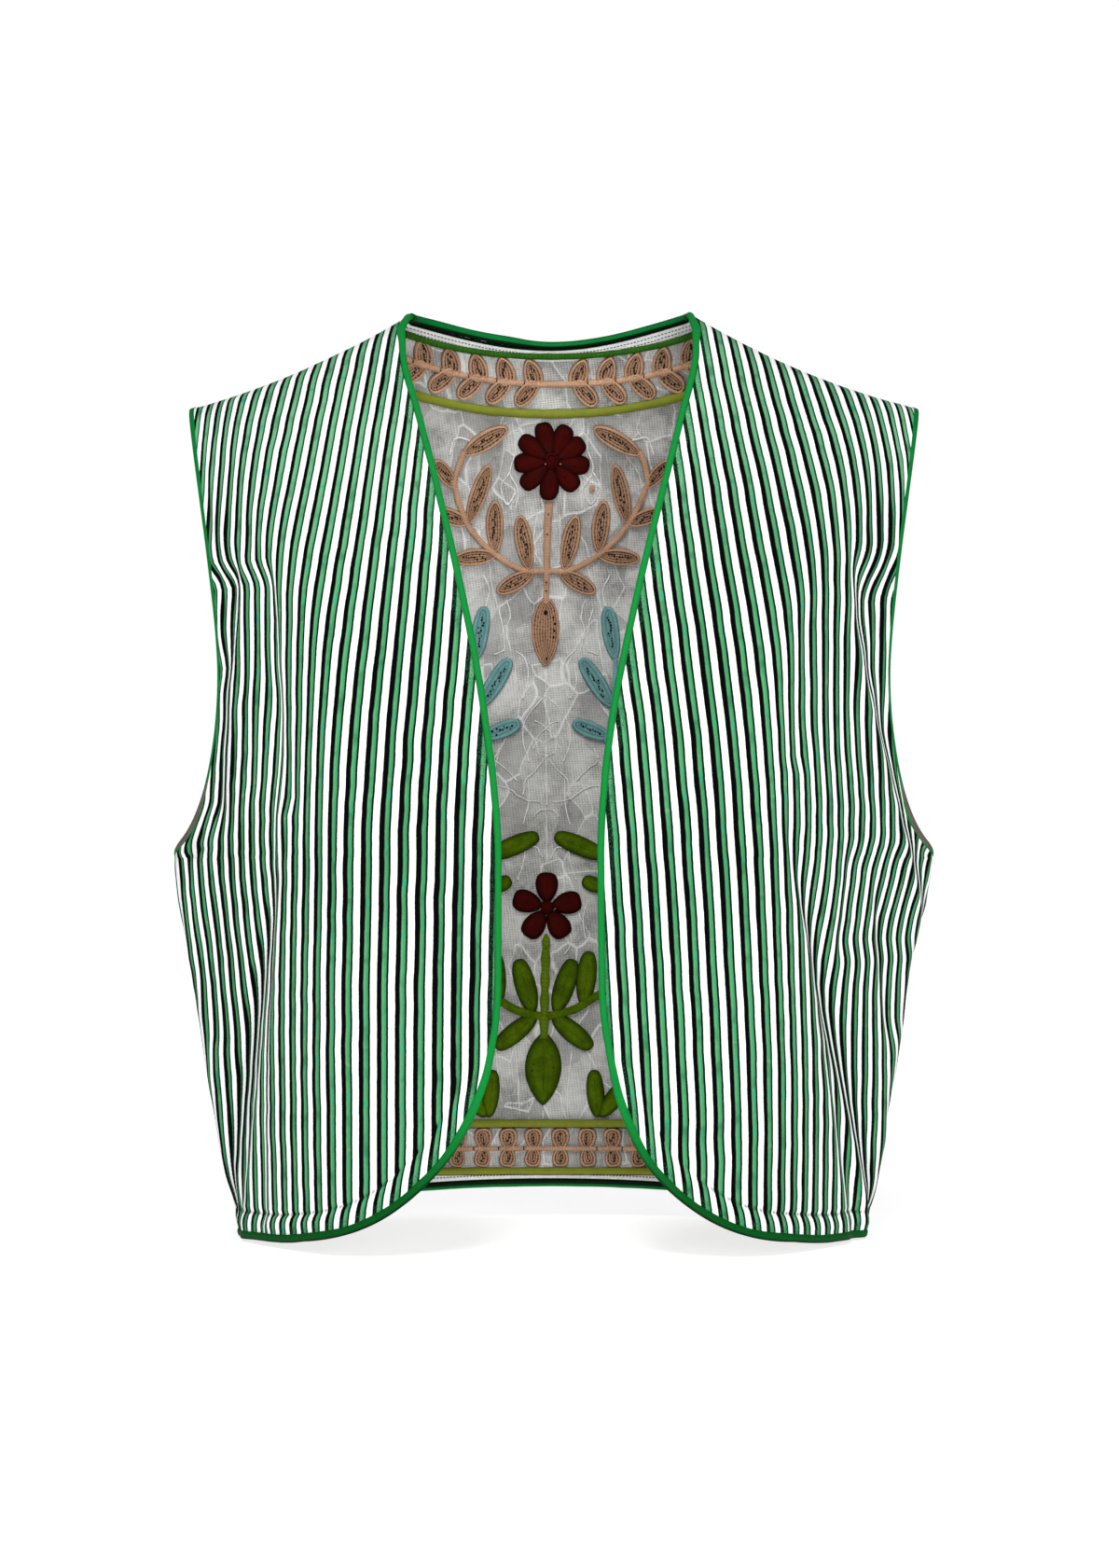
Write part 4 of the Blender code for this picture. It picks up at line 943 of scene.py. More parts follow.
def paint(sketch: Sketch, shader: bpy.types.Node, colour: Wire, bump: dict[str, object]) -> None:
    """Give a shader its colour and its bump."""
    sketch.put(shader.inputs["Base Color"], colour)
    sketch.put(shader.inputs["Normal"], sketch.node("Bump", bump).out())


@dataclass(frozen=True)
class StripedFinish:
    """Woven stripes: black, green, a fine dark line and white, in order, with painted shade in the creases
    and folds and along the hem's stitched groove.
    """

    pitch: float = 0.0104
    black: Colour = (0.0012, 0.0015, 0.0012)
    green: Colour = (0.044, 0.25, 0.095)
    pale_green: Colour = (0.18, 0.43, 0.245)
    bright_green: Colour = (0.03, 0.31, 0.16)
    tan_green: Colour = (0.26, 0.33, 0.17)
    # deep_green: a dark green of the cloth, also used for painted shade in folds and creases
    deep_green: Colour = (0.012, 0.085, 0.035)
    line: Colour = (0.003, 0.01, 0.005)
    white: Colour = (0.88, 0.88, 0.875)
    grey: Colour = (0.6, 0.605, 0.61)
    black_end: float = 0.235
    green_end: float = 0.485
    line_end: float = 0.6
    stitch_at: float = 0.0125
    stitch: float = 0.0034

    def build(self, effects: Effects) -> Material:
        """Make the material."""
        material, sketch, shader = start_material("striped_cloth", 0.85)
        count, up = sketch.map_axes("cloth")
        edge, hem = sketch.map_axes("margin")
        # Painted shade where the cloth is creased, sunk or drawn in.
        crease_shade, _ = sketch.map_axes("relief")
        across = count * self.pitch
        place = sketch.vector(across, up)
        waver = sketch.noise(sketch.vector(across * 0.7, up), 210.0, 4.0, 0.62)
        shift = (waver - 0.5) * 0.05
        phase = (count + shift).fract()
        # Painted shade: the black stripes widen in the creases.
        black_end = crease_shade * 0.16 + self.black_end
        high = up.ramp(-0.2, -0.02)
        black_end = black_end - high * 0.03
        line = sketch.mix(high * 0.7, self.line, self.deep_green)
        number = (count + shift).floor()
        own = sketch.vector(number * 0.137, up)
        tone = sketch.mix(high * 0.5, self.green, self.pale_green)
        lit = phase.ramp(self.black_end, self.green_end - 0.05, 0.4, 0.0)
        tone = sketch.mix(lit, tone, self.pale_green)
        patch = sketch.noise(own, 95.0, 3.0, 0.6)
        tone = sketch.mix(patch.ramp(0.55, 0.7), tone, self.bright_green)
        tone = sketch.mix(patch.ramp(0.4, 0.28) * 0.45, tone, self.tan_green)
        # Painted shade: random patches of fold shade, and the creases, turn the green deep green.
        fold_shade_noise = sketch.noise(place, 60.0, 2.0, 0.55)
        deep = fold_shade_noise.ramp(0.5, 0.72) * 0.55
        deep = deep.at_least(crease_shade * 0.8)
        tone = sketch.mix(deep, tone, self.deep_green)

        grain = sketch.noise(sketch.vector(across * 3.0, up * 0.3), 420.0, 3.0)
        # The white greys with its grain, and with painted shade in the creases.
        pale = (grain.ramp(0.52, 0.72) * 0.3).at_least(crease_shade * 0.75)
        white = sketch.mix(pale, self.white, self.grey)

        colour = sketch.mix(phase.ramp(self.green_end - 0.012, self.green_end + 0.012), tone, line)
        colour = sketch.mix(phase.ramp(self.line_end - 0.01, self.line_end + 0.014), colour, white)
        start = phase.fall(black_end - 0.035, black_end + 0.04)
        end = phase.ramp(0.955, 0.975)
        colour = sketch.mix(start.at_least(end), colour, self.black)

        speck = sketch.noise(sketch.vector(across * 2.0, up), 800.0, 3.0, 0.7).ramp(0.5, 0.58)
        beside = edge.fall(0.0045, 0.006)
        dyed = phase.ramp(self.line_end - 0.05, self.line_end, 0.85, 0.0)
        colour = sketch.mix(speck * beside * dyed, colour, self.deep_green)
        # Hem topstitching: dark stitches, with painted shade along the groove between them.
        off = abs(hem - self.stitch_at)
        seam = off.fall(0.0003, 0.0014)
        dash = abs((across / self.stitch).fract() - 0.5)
        stitch_and_groove_shade = seam * dash.ramp(0.16, 0.3, 0.55, 0.14)
        colour = sketch.mix(stitch_and_groove_shade, colour, self.line)
        weave = sketch.group(effects.weave, {"Place": place, "Thread": 0.0007})
        crumple = sketch.noise(sketch.vector(across, up * 0.6), 150.0, 3.0, 0.55)
        height = weave.out("Height") * 0.12 + crumple
        paint(sketch, shader, colour, {"Strength": 0.55, "Distance": 0.0012, "Height": height})
        return material


@dataclass(frozen=True)
class LiningFinish:
    """Grey twill lining, blotchy, lighter beside its bound edges, with two stitched rows there; with painted
    shade on crumpled facets and in creases, painted highlights along the facets' edges, and a painted shadow
    line just below the bindings.
    """

    name: str
    grey: Colour = (0.63, 0.628, 0.605)
    shaded: Colour = (0.23, 0.23, 0.222)
    # dark: the stitch rows' colour, and painted shade in the creases
    dark: Colour = (0.1, 0.1, 0.105)
    # light: the pale strip's own colour, and painted highlights on the crumple ridges
    light: Colour = (0.92, 0.92, 0.92)
    rows: tuple[float, float] = (0.0036, 0.0062)
    strip: float = 0.009

    def build(self, effects: Effects) -> Material:
        """Make the material."""
        material, sketch, shader = start_material(self.name, 0.9)
        place = sketch.node("UVMap", uv_map="cloth").out()
        edge, _ = sketch.map_axes("margin")
        across, up = sketch.axes(place)
        dye = sketch.group(effects.mottle, {"Place": place, "Scale": 34.0})
        slanted = sketch.vector(across + up, up - across)
        weave = sketch.group(effects.weave, {"Place": slanted, "Thread": 0.0032, "Slant": 0.2})
        blotch = dye.out("Broad") * 0.62 + dye.out("Fine") * 0.3
        blend = sketch.math("ADD", blotch, (weave.out("Height") - 0.5) * 0.6, clamp=True)
        colour = sketch.mix(blend, self.grey, self.shaded)
        # Crumpled facets: painted shade on some facets, and painted highlights along the edges between them.
        bend = sketch.node("TexNoise", {"Vector": place, "Scale": 40.0, "Detail": 1.0})
        bow = sketch.node("VectorMath", {0: bend.out("Color"), "Scale": 0.007}, operation="SCALE")
        bent = sketch.node("VectorMath", {0: sketch.vector(across, up * 0.6), 1: bow.out()}).out()
        plates = sketch.node("TexVoronoi", {"Vector": bent, "Scale": 60.0})
        gaps = sketch.node("TexVoronoi", {"Vector": bent, "Scale": 60.0}, feature="DISTANCE_TO_EDGE")
        gap = gaps.out("Distance")
        facet_shade = sketch.node("SeparateColor", {"Color": plates.out("Color")})
        colour = sketch.mix(facet_shade.out().ramp(0.25, 1.0, 0.0, 0.5), colour, self.shaded)
        ridge = gap.fall(0.01, 0.05) * facet_shade.out(1).ramp(0.45, 0.75)
        colour = sketch.mix(ridge * 0.5, colour, self.light)
        crease = sketch.noise(sketch.vector(across, up * 0.45), 62.0, 3.0, 0.5)
        fold = abs(crease - 0.5).fall(0.0, 0.018)
        # Painted shade in the creases.
        colour = sketch.mix(fold * dye.out("Broad").ramp(0.45, 0.85, 0.0, 0.35), colour, self.dark)
        lighter = edge.ramp(self.strip - 0.001, self.strip, 0.7, 0.0)
        colour = sketch.mix(lighter, colour, self.light)
        # Painted shadow: a near-black line just below the bindings.
        colour = sketch.mix(edge.fall(0.001, 0.0016), colour, (0.003, 0.008, 0.004))
        dash = abs((across / 0.0021).fract() - 0.5).ramp(0.12, 0.22)
        for row in self.rows:
            off = abs(edge - row)
            line = off.ramp(0.0002, 0.0006, 0.95, 0.0) * dash
            colour = sketch.mix(line, colour, self.dark)
        height = weave.out("Height") * 0.3 + crease
        height = height - gap.ramp(0.0, 0.12, 0.0, 0.35)
        paint(sketch, shader, colour, {"Strength": 0.7, "Distance": 0.0016, "Height": height})
        return material


@dataclass(frozen=True)
class CordFinish:
    """A cord, binding or padded felt, uneven along its length, with painted shade in its grooves, between its
    rows and in its holes, and on a binding's lower parts.
    """

    name: str
    colour: Colour
    dark: Colour
    stitch: float = 0.0017
    lean: float = 0.8
    depth: float = 0.0003
    roughness: float = 0.75
    # groove: how much painted shade darkens the twist's grooves
    groove: float = 0.55
    worn: float = 0.45
    scale: float = 110.0
    gloss: float = 0.05
    # low: how much painted shade darkens a binding towards the hem
    low: float = 0.0
    # seams: how much painted shade darkens the dips between rows and the outlines
    seams: float = 0.0
    # holes: how much painted shade darkens the holes between rows
    holes: float = 0.0
    # shaded_half: painted shade over one side of a binding's section
    shaded_half: float = 0.0
    # hole: the colour of the painted shade in the holes
    hole: Colour = (0.012, 0.007, 0.005)

    def build(self, effects: Effects) -> Material:
        """Make the material."""
        material, sketch, shader = start_material(self.name, self.roughness, self.gloss)
        place = sketch.node("UVMap", uv_map="thread").out()
        twist = sketch.group(effects.twist, {"Place": place, "Stitch": self.stitch, "Lean": self.lean})
        solid = sketch.node("TexCoord").out("Object")
        dye = sketch.group(effects.mottle, {"Place": solid, "Scale": self.scale})
        patchy = dye.out("Fine") * 0.5 + dye.out("Broad") * 0.5
        colour = sketch.mix(patchy * self.worn, self.colour, self.dark)
        # Painted shade in the twist's grooves.
        colour = sketch.mix(twist.out("Groove") * self.groove, colour, self.dark)
        # Painted shade on the inner rows, between the rows and round the outlines.
        if self.seams:
            colour = sketch.mix(twist.out("Inner") * 0.1, colour, self.dark)
            colour = sketch.mix(twist.out("Seams") * self.seams, colour, self.dark)
        # Painted shade in the holes between the rows.
        if self.holes:
            colour = sketch.mix(twist.out("Holes") * self.holes, colour, self.hole)
        # Painted shade: one side of the binding's section goes near-black.
        if self.shaded_half:
            off = abs(sketch.axes(place)[0] - 0.6)
            colour = sketch.mix(off.ramp(0.12, 0.17, self.shaded_half, 0.0), colour, (0.002, 0.006, 0.003))
        # Painted shade: the binding darkens towards the hem, and more along one edge there.
        if self.low:
            height = sketch.node("SeparateXYZ", {0: sketch.node("TexCoord").out("Object")}).out(2)
            low = height.ramp(-0.46, -0.53, 0.0, self.low)
            colour = sketch.mix(low, colour, self.dark)
            rim = low * sketch.axes(place)[0].fall(0.08, 0.2)
            colour = sketch.mix(rim, colour, (0.0005, 0.008, 0.0015))
        height = twist.out("Height")
        paint(sketch, shader, colour, {"Strength": 0.7, "Distance": self.depth, "Height": height})
        return material


class Finish(Enum):
    """Every finish, by its material slot and its own name."""

    STRIPED = ("striped_cloth", "stripes")
    LINING = ("lining_cloth", "twill")
    BACKING = ("lining_cloth", "backing")
    BINDING = ("bias_binding", "bright")
    DARK_BINDING = ("bias_binding", "deep")
    FACING = ("bias_binding", "facing")
    GRASS = ("grass_cord", "grass")
    OLIVE = ("olive_cord", "olive")
    TAN = ("tan_cord", "tan")
    LEAF = ("leaf_felt", "leaf")
    STEM = ("leaf_felt", "stem")
    TEAL = ("teal_cord", "teal")
    MAROON = ("maroon_felt", "maroon")
    # SHADOW: dark marks of painted shade: holes, joints, petal creases and the shadow lines beside cords.
    SHADOW = ("tan_cord", "holes")
    THREAD = ("lining_cloth", "thread")

    @property
    def slot(self) -> str:
        """The record's material slot."""
        return self.value[0]


class Wardrobe:
    """Builds the finishes and hands them out."""

    def __init__(self) -> None:
        """Build every material once."""
        effects = Effects()
        felt = {"stitch": 0.009, "lean": 0.0, "depth": 0.0001, "roughness": 0.9, "groove": 0.0}
        bias = {"stitch": 0.005, "lean": 0.5, "depth": 0.0002, "roughness": 0.6}
        # Painted shade between the rows and in the holes.
        open_rows = {"seams": 0.62, "holes": 0.9}
        kinds = {
            Finish.STRIPED: StripedFinish(),
            Finish.LINING: LiningFinish("lining_cloth"),
            Finish.BACKING: LiningFinish("backing_cloth", (0.34, 0.31, 0.28), (0.25, 0.22, 0.2)),
            # The front bindings darken towards the hem with painted shade.
            Finish.BINDING: CordFinish("bias_binding", (0.0045, 0.195, 0.032), (0.0006, 0.058, 0.007),
                                       groove=0.06, worn=0.14, gloss=0.04, low=0.95, **bias),
            # The armhole and back bindings get painted shade on one side.
            Finish.DARK_BINDING: CordFinish("dark_binding", (0.001, 0.15, 0.026), (0.0, 0.03, 0.006),
                                            groove=0.04, worn=0.3, shaded_half=0.96, **bias),
            Finish.FACING: CordFinish("armhole_facing", (0.12, 0.1, 0.085), (0.035, 0.03, 0.026)),
            Finish.GRASS: CordFinish("grass_cord", (0.026, 0.11, 0.008), (0.006, 0.022, 0.002), 0.0028),
            Finish.OLIVE: CordFinish("olive_cord", (0.19, 0.215, 0.02), (0.07, 0.085, 0.006), 0.005, 0.3,
                                     0.0001, 0.6, 0.1, 0.35, gloss=0.12),
            Finish.TAN: CordFinish("tan_cord", (0.53, 0.318, 0.2), (0.135, 0.066, 0.036), **open_rows),
            # On the felts, seams give painted shade towards their edges.
            Finish.LEAF: CordFinish("leaf_felt", (0.085, 0.15, 0.0015), (0.01, 0.024, 0.0005), worn=0.75,
                                    seams=0.72, **felt),
            Finish.STEM: CordFinish("leaf_stem", (0.11, 0.18, 0.006), (0.022, 0.05, 0.002), 0.0026, 0.6),
            Finish.TEAL: CordFinish("teal_cord", (0.185, 0.375, 0.375), (0.05, 0.13, 0.135), seams=0.45),
            Finish.MAROON: CordFinish("maroon_felt", (0.055, 0.0022, 0.0012), (0.008, 0.0008, 0.0005),
                                      worn=0.6, seams=0.8, **felt),
            Finish.SHADOW: CordFinish("stitch_holes", (0.012, 0.009, 0.008), (0.004, 0.003, 0.003),
                                      **open_rows),
            Finish.THREAD: CordFinish("white_thread", (0.84, 0.835, 0.83), (0.56, 0.55, 0.54), 0.0012,
                                      **open_rows),
        }
        self.materials = {finish: kind.build(effects) for finish, kind in kinds.items()}

    def give(self, *finishes: Finish) -> list[Material]:
        """Materials for some finishes, in order."""
        return [self.materials[finish] for finish in finishes]


def enter(piece: bpy.types.Object, finish: Finish, *nodes: str) -> None:
    """Put a piece on the garment's one body in place of its solids."""
    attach(piece, "root")
    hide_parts(*nodes)
    LOG.info("%s: %d faces for %s", piece.name, len(piece.data.polygons), ", ".join(nodes))


# ------------------------------ cloth panels


class StripeRow(NamedTuple):
    """Where the ninth white stripe lies at a height, and the stripes' pitch there."""

    height: float
    ninth: float
    pitch: float


class Tuck(NamedTuple):
    """Cloth drawn into a crease: its line, what it takes in, its half width, its depth and its two ends."""

    top_at: float
    foot_at: float
    top: float
    foot: float
    swallow: float
    width: float
    depth: float
    opening: float = 0.3
    close: float = 1.6

    def pull(self, height: Array, along: Array) -> tuple[Array, Array]:
        """How much cloth has gone in before each point, and how far its groove sinks there."""
        share = (self.top - height) / (self.top - self.foot)
        centre = self.top_at + (self.foot_at - self.top_at) * np.maximum(share, 0.0)
        ease = ease_in(share / self.opening) * ease_in((self.close - share) / 0.3)
        away = (along - centre) / self.width
        return self.swallow * ease / (1 + np.exp(-away * 2)), self.depth * ease * np.exp(-away * away)


def ease_in(share: Array) -> Array:
    """A smooth step from 0 to 1."""
    share = clamped(share)
    return share * share * (3 - 2 * share)


@dataclass(frozen=True)
class StripePlan:
    """Stripe count over a panel."""

    rows: tuple[StripeRow, ...]
    tucks: tuple[Tuck, ...] = ()

    def at(self, side: Side, height: Array, along: Array) -> Array:
        """Stripe count, rising towards +X, with each repeat's parts in the same order on both sides."""
        rows = sorted(self.rows)
        heights = [row.height for row in rows]
        ninth = smooth_through(heights, [row.ninth for row in rows], height)
        pitch = smooth_through(heights, [row.pitch for row in rows], height)
        taken = sum((tuck.pull(height, along)[0] for tuck in self.tucks), np.zeros_like(along))
        return side.value * (along - ninth + taken) / pitch + 0.8

    def grooves(self, height: Array, along: Array) -> Array:
        """How far the creases sink."""
        return sum((tuck.pull(height, along)[1] for tuck in self.tucks), np.zeros_like(along))


RIGHT_STRIPES = StripePlan(
    rows_of(StripeRow, (0.0, 0.0885, 0.0086), (-0.041, 0.093, 0.0088), (-0.099, 0.1, 0.0092),
            (-0.154, 0.1065, 0.01), (-0.208, 0.113, 0.0106), (-0.261, 0.118, 0.0107),
            (-0.32, 0.121, 0.0107), (-0.42, 0.1222, 0.0106), (-0.55, 0.1233, 0.0106)),
    rows_of(Tuck, (0.164, 0.252, -0.3, -0.565, 0.016, 0.0046, -0.0032, 0.5),
            (0.169, 0.173, -0.15, -0.215, 0.01, 0.0026, -0.0009, 0.3, 9.0),
            (0.196, 0.219, -0.14, -0.205, 0.008, 0.0028, -0.001, 0.5, 1.4),
            (0.224, 0.234, -0.19, -0.29, 0.012, 0.004, -0.0012, 0.4, 1.3)))
LEFT_STRIPES = StripePlan(
    rows_of(StripeRow, (0.0, 0.0765, 0.0088), (-0.041, 0.081, 0.009), (-0.099, 0.089, 0.0097),
            (-0.154, 0.0963, 0.0102), (-0.208, 0.1037, 0.0105), (-0.261, 0.1093, 0.0103),
            (-0.32, 0.1142, 0.0103), (-0.4, 0.1193, 0.0103), (-0.474, 0.1228, 0.0103),
            (-0.55, 0.1235, 0.0103)),
    rows_of(Tuck, (0.13, 0.247, -0.29, -0.56, 0.022, 0.0046, -0.0034, 0.5),
            (0.181, 0.223, -0.14, -0.235, 0.018, 0.0028, -0.001, 0.4, 9.0),
            (0.197, 0.19, -0.312, -0.372, 0.006, 0.003, -0.0009, 0.4, 1.3),
            (0.221, 0.24, -0.33, -0.42, 0.006, 0.0034, -0.0012, 0.4, 1.3)))
BACK_STRIPES = StripePlan(
    rows_of(StripeRow, (0.0, 0.079, 0.01), (-0.25, 0.083, 0.0105), (-0.55, 0.082, 0.0104)))


def distance_to_line(points: Array, line: Array) -> Array:
    """Distance from each point of a grid to a line of points, along their joined segments."""
    flat = points.reshape(-1, 3)
    best = np.full(len(flat), 1e9)
    start, run = line[:-1], np.diff(line, axis=0)
    size = np.maximum((run ** 2).sum(-1), 1e-12)
    for k in range(0, len(flat), 2000):
        part = flat[k:k + 2000, None]
        share = clamped(((part - start) * run).sum(-1) / size)
        gap = part - start - run * share[..., None]
        best[k:k + 2000] = np.sqrt((gap ** 2).sum(-1).min(-1))
    return best.reshape(points.shape[:-1])


def on_both_faces(**maps: tuple[Array, Array]) -> dict[str, Array]:
    """UV maps of a grid, repeated for the two faces of its wall."""
    return {name: np.tile(np.stack(pair, -1).reshape(-1, 2), (2, 1)) for name, pair in maps.items()}


@dataclass
class ClothWalls:
    """The striped fronts and back, the lining, and the bindings round their edges."""

    form: HangingForm
    wardrobe: Wardrobe
    pucker: float = 0.00022
    restless: float = 0.001
    stitch_at: float = 0.0125
    hem_lean: float = 0.0028
    straight_half: float = 0.00195
    hem_half: float = 0.0027
    armhole_half: float = 0.0012
    top_fuller: float = 0.0009
    underarm_fuller: float = 0.0017
    shoulder_fuller: float = 0.0007
    stitch_width: float = 0.0011
    stitched_below: float = -0.508
    hem_relief: float = 0.0009
    puff_at: float = 0.0065
    puff_width: float = 0.004
    billow: float = 0.0008
    wild: float = 0.22
    woven: float = 0.03
    row_ease: float = 0.002
    seam_lead: float = 0.006
    drawn_reach: float = 0.062
    grids: dict[str, ClothGrid] = field(default_factory=dict)

    def cut(self) -> None:
        """Cut every panel's grid."""
        cutter = PanelCutter(self.form)
        self.armhole_end = cutter.shoulder_rows + cutter.armhole_rows
        for side in Side:
            self.grids["front_" + side.word] = cutter.front(side)
        self.grids["back"] = cutter.back()
        LOG.info("cut %s", ", ".join(f"{name} {grid.points.shape[:2]}" for name, grid in self.grids.items()))

    def _unrest(self, grid: ClothGrid, panel: Panel, outer: Array) -> Array:
        """From 0 where the cloth hangs smooth to 1 where it is drawn in at an armhole and a side seam."""
        seam = np.abs(np.abs(grid.along) - self.form.seam(grid.height, panel))
        near = np.minimum(outer, seam + self.seam_lead)
        drawn = ease_in(1 - near / self.drawn_reach) * ease_in((grid.height - self.form.low) / 0.1)
        return drawn * ease_in(-grid.height / 0.1 - 0.3)

    def _puckers(self, grid: ClothGrid, calm: Array, unrest: Array, seed: int) -> tuple[Array, Array]:
        """Small puckers that fade at the edges, and a sideways wander of the stripes."""
        up = grid.cloth_length()
        noise, other = SoftNoise(seed), SoftNoise(seed + 1)
        along = grid.along
        small = noise.at(along / 0.011 + 7, up / 0.008) + 0.6 * noise.at(along / 0.019, up / 0.016 + 9)
        drawn = other.at(along / 0.01 + 3, up / 0.034) + 0.5 * noise.at(along / 0.006, up / 0.02 + 5)
        broad = other.at(along / 0.045 + 3, up / 0.11)
        lift = self.pucker * small + self.billow * broad + self.restless * unrest * drawn
        wander = self.wild * unrest * other.at(along / 0.017, up / 0.03 + 2)
        wander = wander + self.woven * other.at(along / 0.02 + 4, up / 0.013)
        return lift * ease_in(calm / 0.01), wander * ease_in(calm / 0.006)

    def front(self, side: Side) -> None:
        """One striped front with its backing and its binding."""
        grid = self.grids["front_" + side.word]
        plan = RIGHT_STRIPES if side is Side.RIGHT else LEFT_STRIPES
        bound = np.concatenate((grid.points[:, 0], grid.points[-1, 1:]))
        edge = distance_to_line(grid.points, bound)
        outer = distance_to_line(grid.points, grid.points[:self.armhole_end + 1, -1])
        seam = np.abs(grid.along - self.form.seam(grid.height, Panel.FRONT))
        rows = np.arange(grid.points.shape[0])[:, None] * self.row_ease
        calm = np.minimum(np.minimum(edge, outer), np.minimum(seam, rows))
        unrest = self._unrest(grid, Panel.FRONT, outer)
        lift, wander = self._puckers(grid, calm, unrest, 11 + side.value)
        groove = plan.grooves(grid.height, grid.along) * ease_in(np.minimum(seam, outer) / 0.006)
        lift = lift + groove * ease_in(edge / 0.008)
        hem = distance_to_line(grid.points, np.concatenate((grid.points[-60:, 0], grid.points[-1, 1:])))
        low = ease_in((-0.44 - grid.height) / 0.03)
        stitch = hump(hem, self.stitch_at, self.stitch_width)
        puff = hump(hem, self.puff_at, self.puff_width)
        fuller = 1 + 0.5 * SoftNoise(77).at(grid.along / 0.008, hem / 0.05)
        relief = self.hem_relief * puff * fuller - self.hem_relief * stitch
        lift = lift + low * ease_in(hem / 0.002) * relief
        below = low * clamped((self.stitch_at - hem) / self.stitch_at)
        jog = SoftNoise(78).at(grid.along / 0.013, hem)
        jog = low * ease_in((self.stitch_at + 0.0004 - hem) / 0.0012) * jog
        count = plan.at(side, grid.height, grid.along - self.hem_lean * below ** 0.8 - 0.0009 * jog) + wander
        # Where painted shade darkens the stripes: drawn-in cloth by the armhole and side seam, the tucks'
        # grooves and sunken puckers.
        crease_shade = clamped(unrest * (0.3 + 0.55 * SoftNoise(79).at(grid.along / 0.009, grid.height / 0.045))
                        + clamped(-groove / 0.0026) * 0.9 + np.clip(-lift / 0.002, 0, 0.4))
        points, faces, inside = shell(grid.moved(lift), grid.moved(np.minimum(lift, 0.0004) - FRONT_WALL))
        maps = on_both_faces(cloth=(count, grid.cloth_length()), relief=(crease_shade, crease_shade),
                             margin=(edge, np.where(grid.height < self.stitched_below, hem, 1.0)))
        if side is Side.RIGHT:
            faces = faces[:, ::-1]
        piece = make_piece("striped_front_" + side.word, points, faces, maps,
                           self.wardrobe.give(Finish.STRIPED, Finish.BACKING), inside)
        enter(piece, Finish.STRIPED, "front_" + side.word)
        strip_edge = (bound, np.concatenate((grid.normals[:, 0], grid.normals[-1, 1:])),
                      np.concatenate((grid.points[:, 1], grid.points[-2, 1:])))
        lower = ease_in((-0.4 - bound[:, 2]) / 0.09)
        half = self.straight_half + (self.hem_half - self.straight_half) * lower
        half = half + self.top_fuller * hump(bound[:, 2], -0.009, 0.009)
        binding = self._binding("binding_front_" + side.word, strip_edge, FRONT_WALL, half, 0.001)

    def _binding(self, node: str, edge: tuple[Array, Array, Array], wall: Array | float, half: Array | float,
                 proud: float, trim: Array | float = TRIM, closed: bool = False,
                 finish: Finish = Finish.BINDING) -> bpy.types.Object:
        """A rounded bias strip over a wall's edge.

        Args:
            node: The solid that it stands for.
            edge: Points, outward directions and inward neighbours along the edge.
            wall: Thickness of the wall.
            half: Half the strip's width.
            proud: How far it stands off each face.
            trim: How far the finished edge lies outside the wall's.
            closed: The edge is a ring.
            finish: Its finish.

        Returns:
            The strip.
        """
        points, normals, inward = edge
        wall = np.broadcast_to(np.asarray(wall, float), (len(points),))
        half = np.broadcast_to(np.asarray(half, float), (len(points),))
        across, lift = frames_along(points, normals, closed)
        turn = np.sign(((points - inward) * across).sum(-1))[:, None]
        across = across * turn
        lift = lift * np.sign((lift * normals).sum(-1))[:, None]
        path = points - lift * (wall / 2)[:, None] + across * (trim - half)[:, None]
        run = run_along(path)
        wave = SoftNoise(31).at(run / 0.009, np.zeros_like(run)) * (0.0 if closed else 0.06)
        wide, deep = half * (1 + 0.6 * wave), (wall / 2 + proud) * (1 + wave)
        strip = sweep(path, across, lift, wide, deep, 16, closed, squareness=0.85)
        middle, around = strip.points[strip.faces].mean(1), strip.around[strip.faces].mean(1)[:, 0]
        faced = closed & (around < 0.34) & (np.abs(middle[:, 2] + 0.302) < 0.02)
        piece = make_piece("bias_" + node, strip.points, strip.faces, {"thread": strip.around},
                           self.wardrobe.give(finish, Finish.FACING), faced.astype(int))
        enter(piece, finish, node)
        return piece

    def _armhole(self, side: Side) -> bpy.types.Object:
        """The bias strip round one armhole."""
        front, back = self.grids["front_" + side.word], self.grids["back"]
        column, inner = (0, 1) if side is Side.RIGHT else (-1, -2)
        last = self.armhole_end
        ring = [np.concatenate((one[:last + 1], two[last - 1:0:-1])) for one, two in (
            (front.points[:, -1], back.points[:, column]), (front.normals[:, -1], back.normals[:, column]),
            (front.points[:, -2], back.points[:, inner]))]
        wall = np.concatenate((np.full(last + 1, FRONT_WALL), np.full(last - 1, LINED_WALL)))
        wall = np.mean([np.roll(wall, k) for k in range(-6, 7)], axis=0)
        height = ring[0][:, 2]
        half = self.armhole_half + self.underarm_fuller * hump(height, -0.306, 0.022)
        half = half + self.shoulder_fuller * ease_in((height + 0.24) / 0.07)
        return self._binding("binding_armhole_" + side.word, tuple(ring), wall, half, 0.0004,
                             ARMHOLE_TRIM, True, Finish.DARK_BINDING)

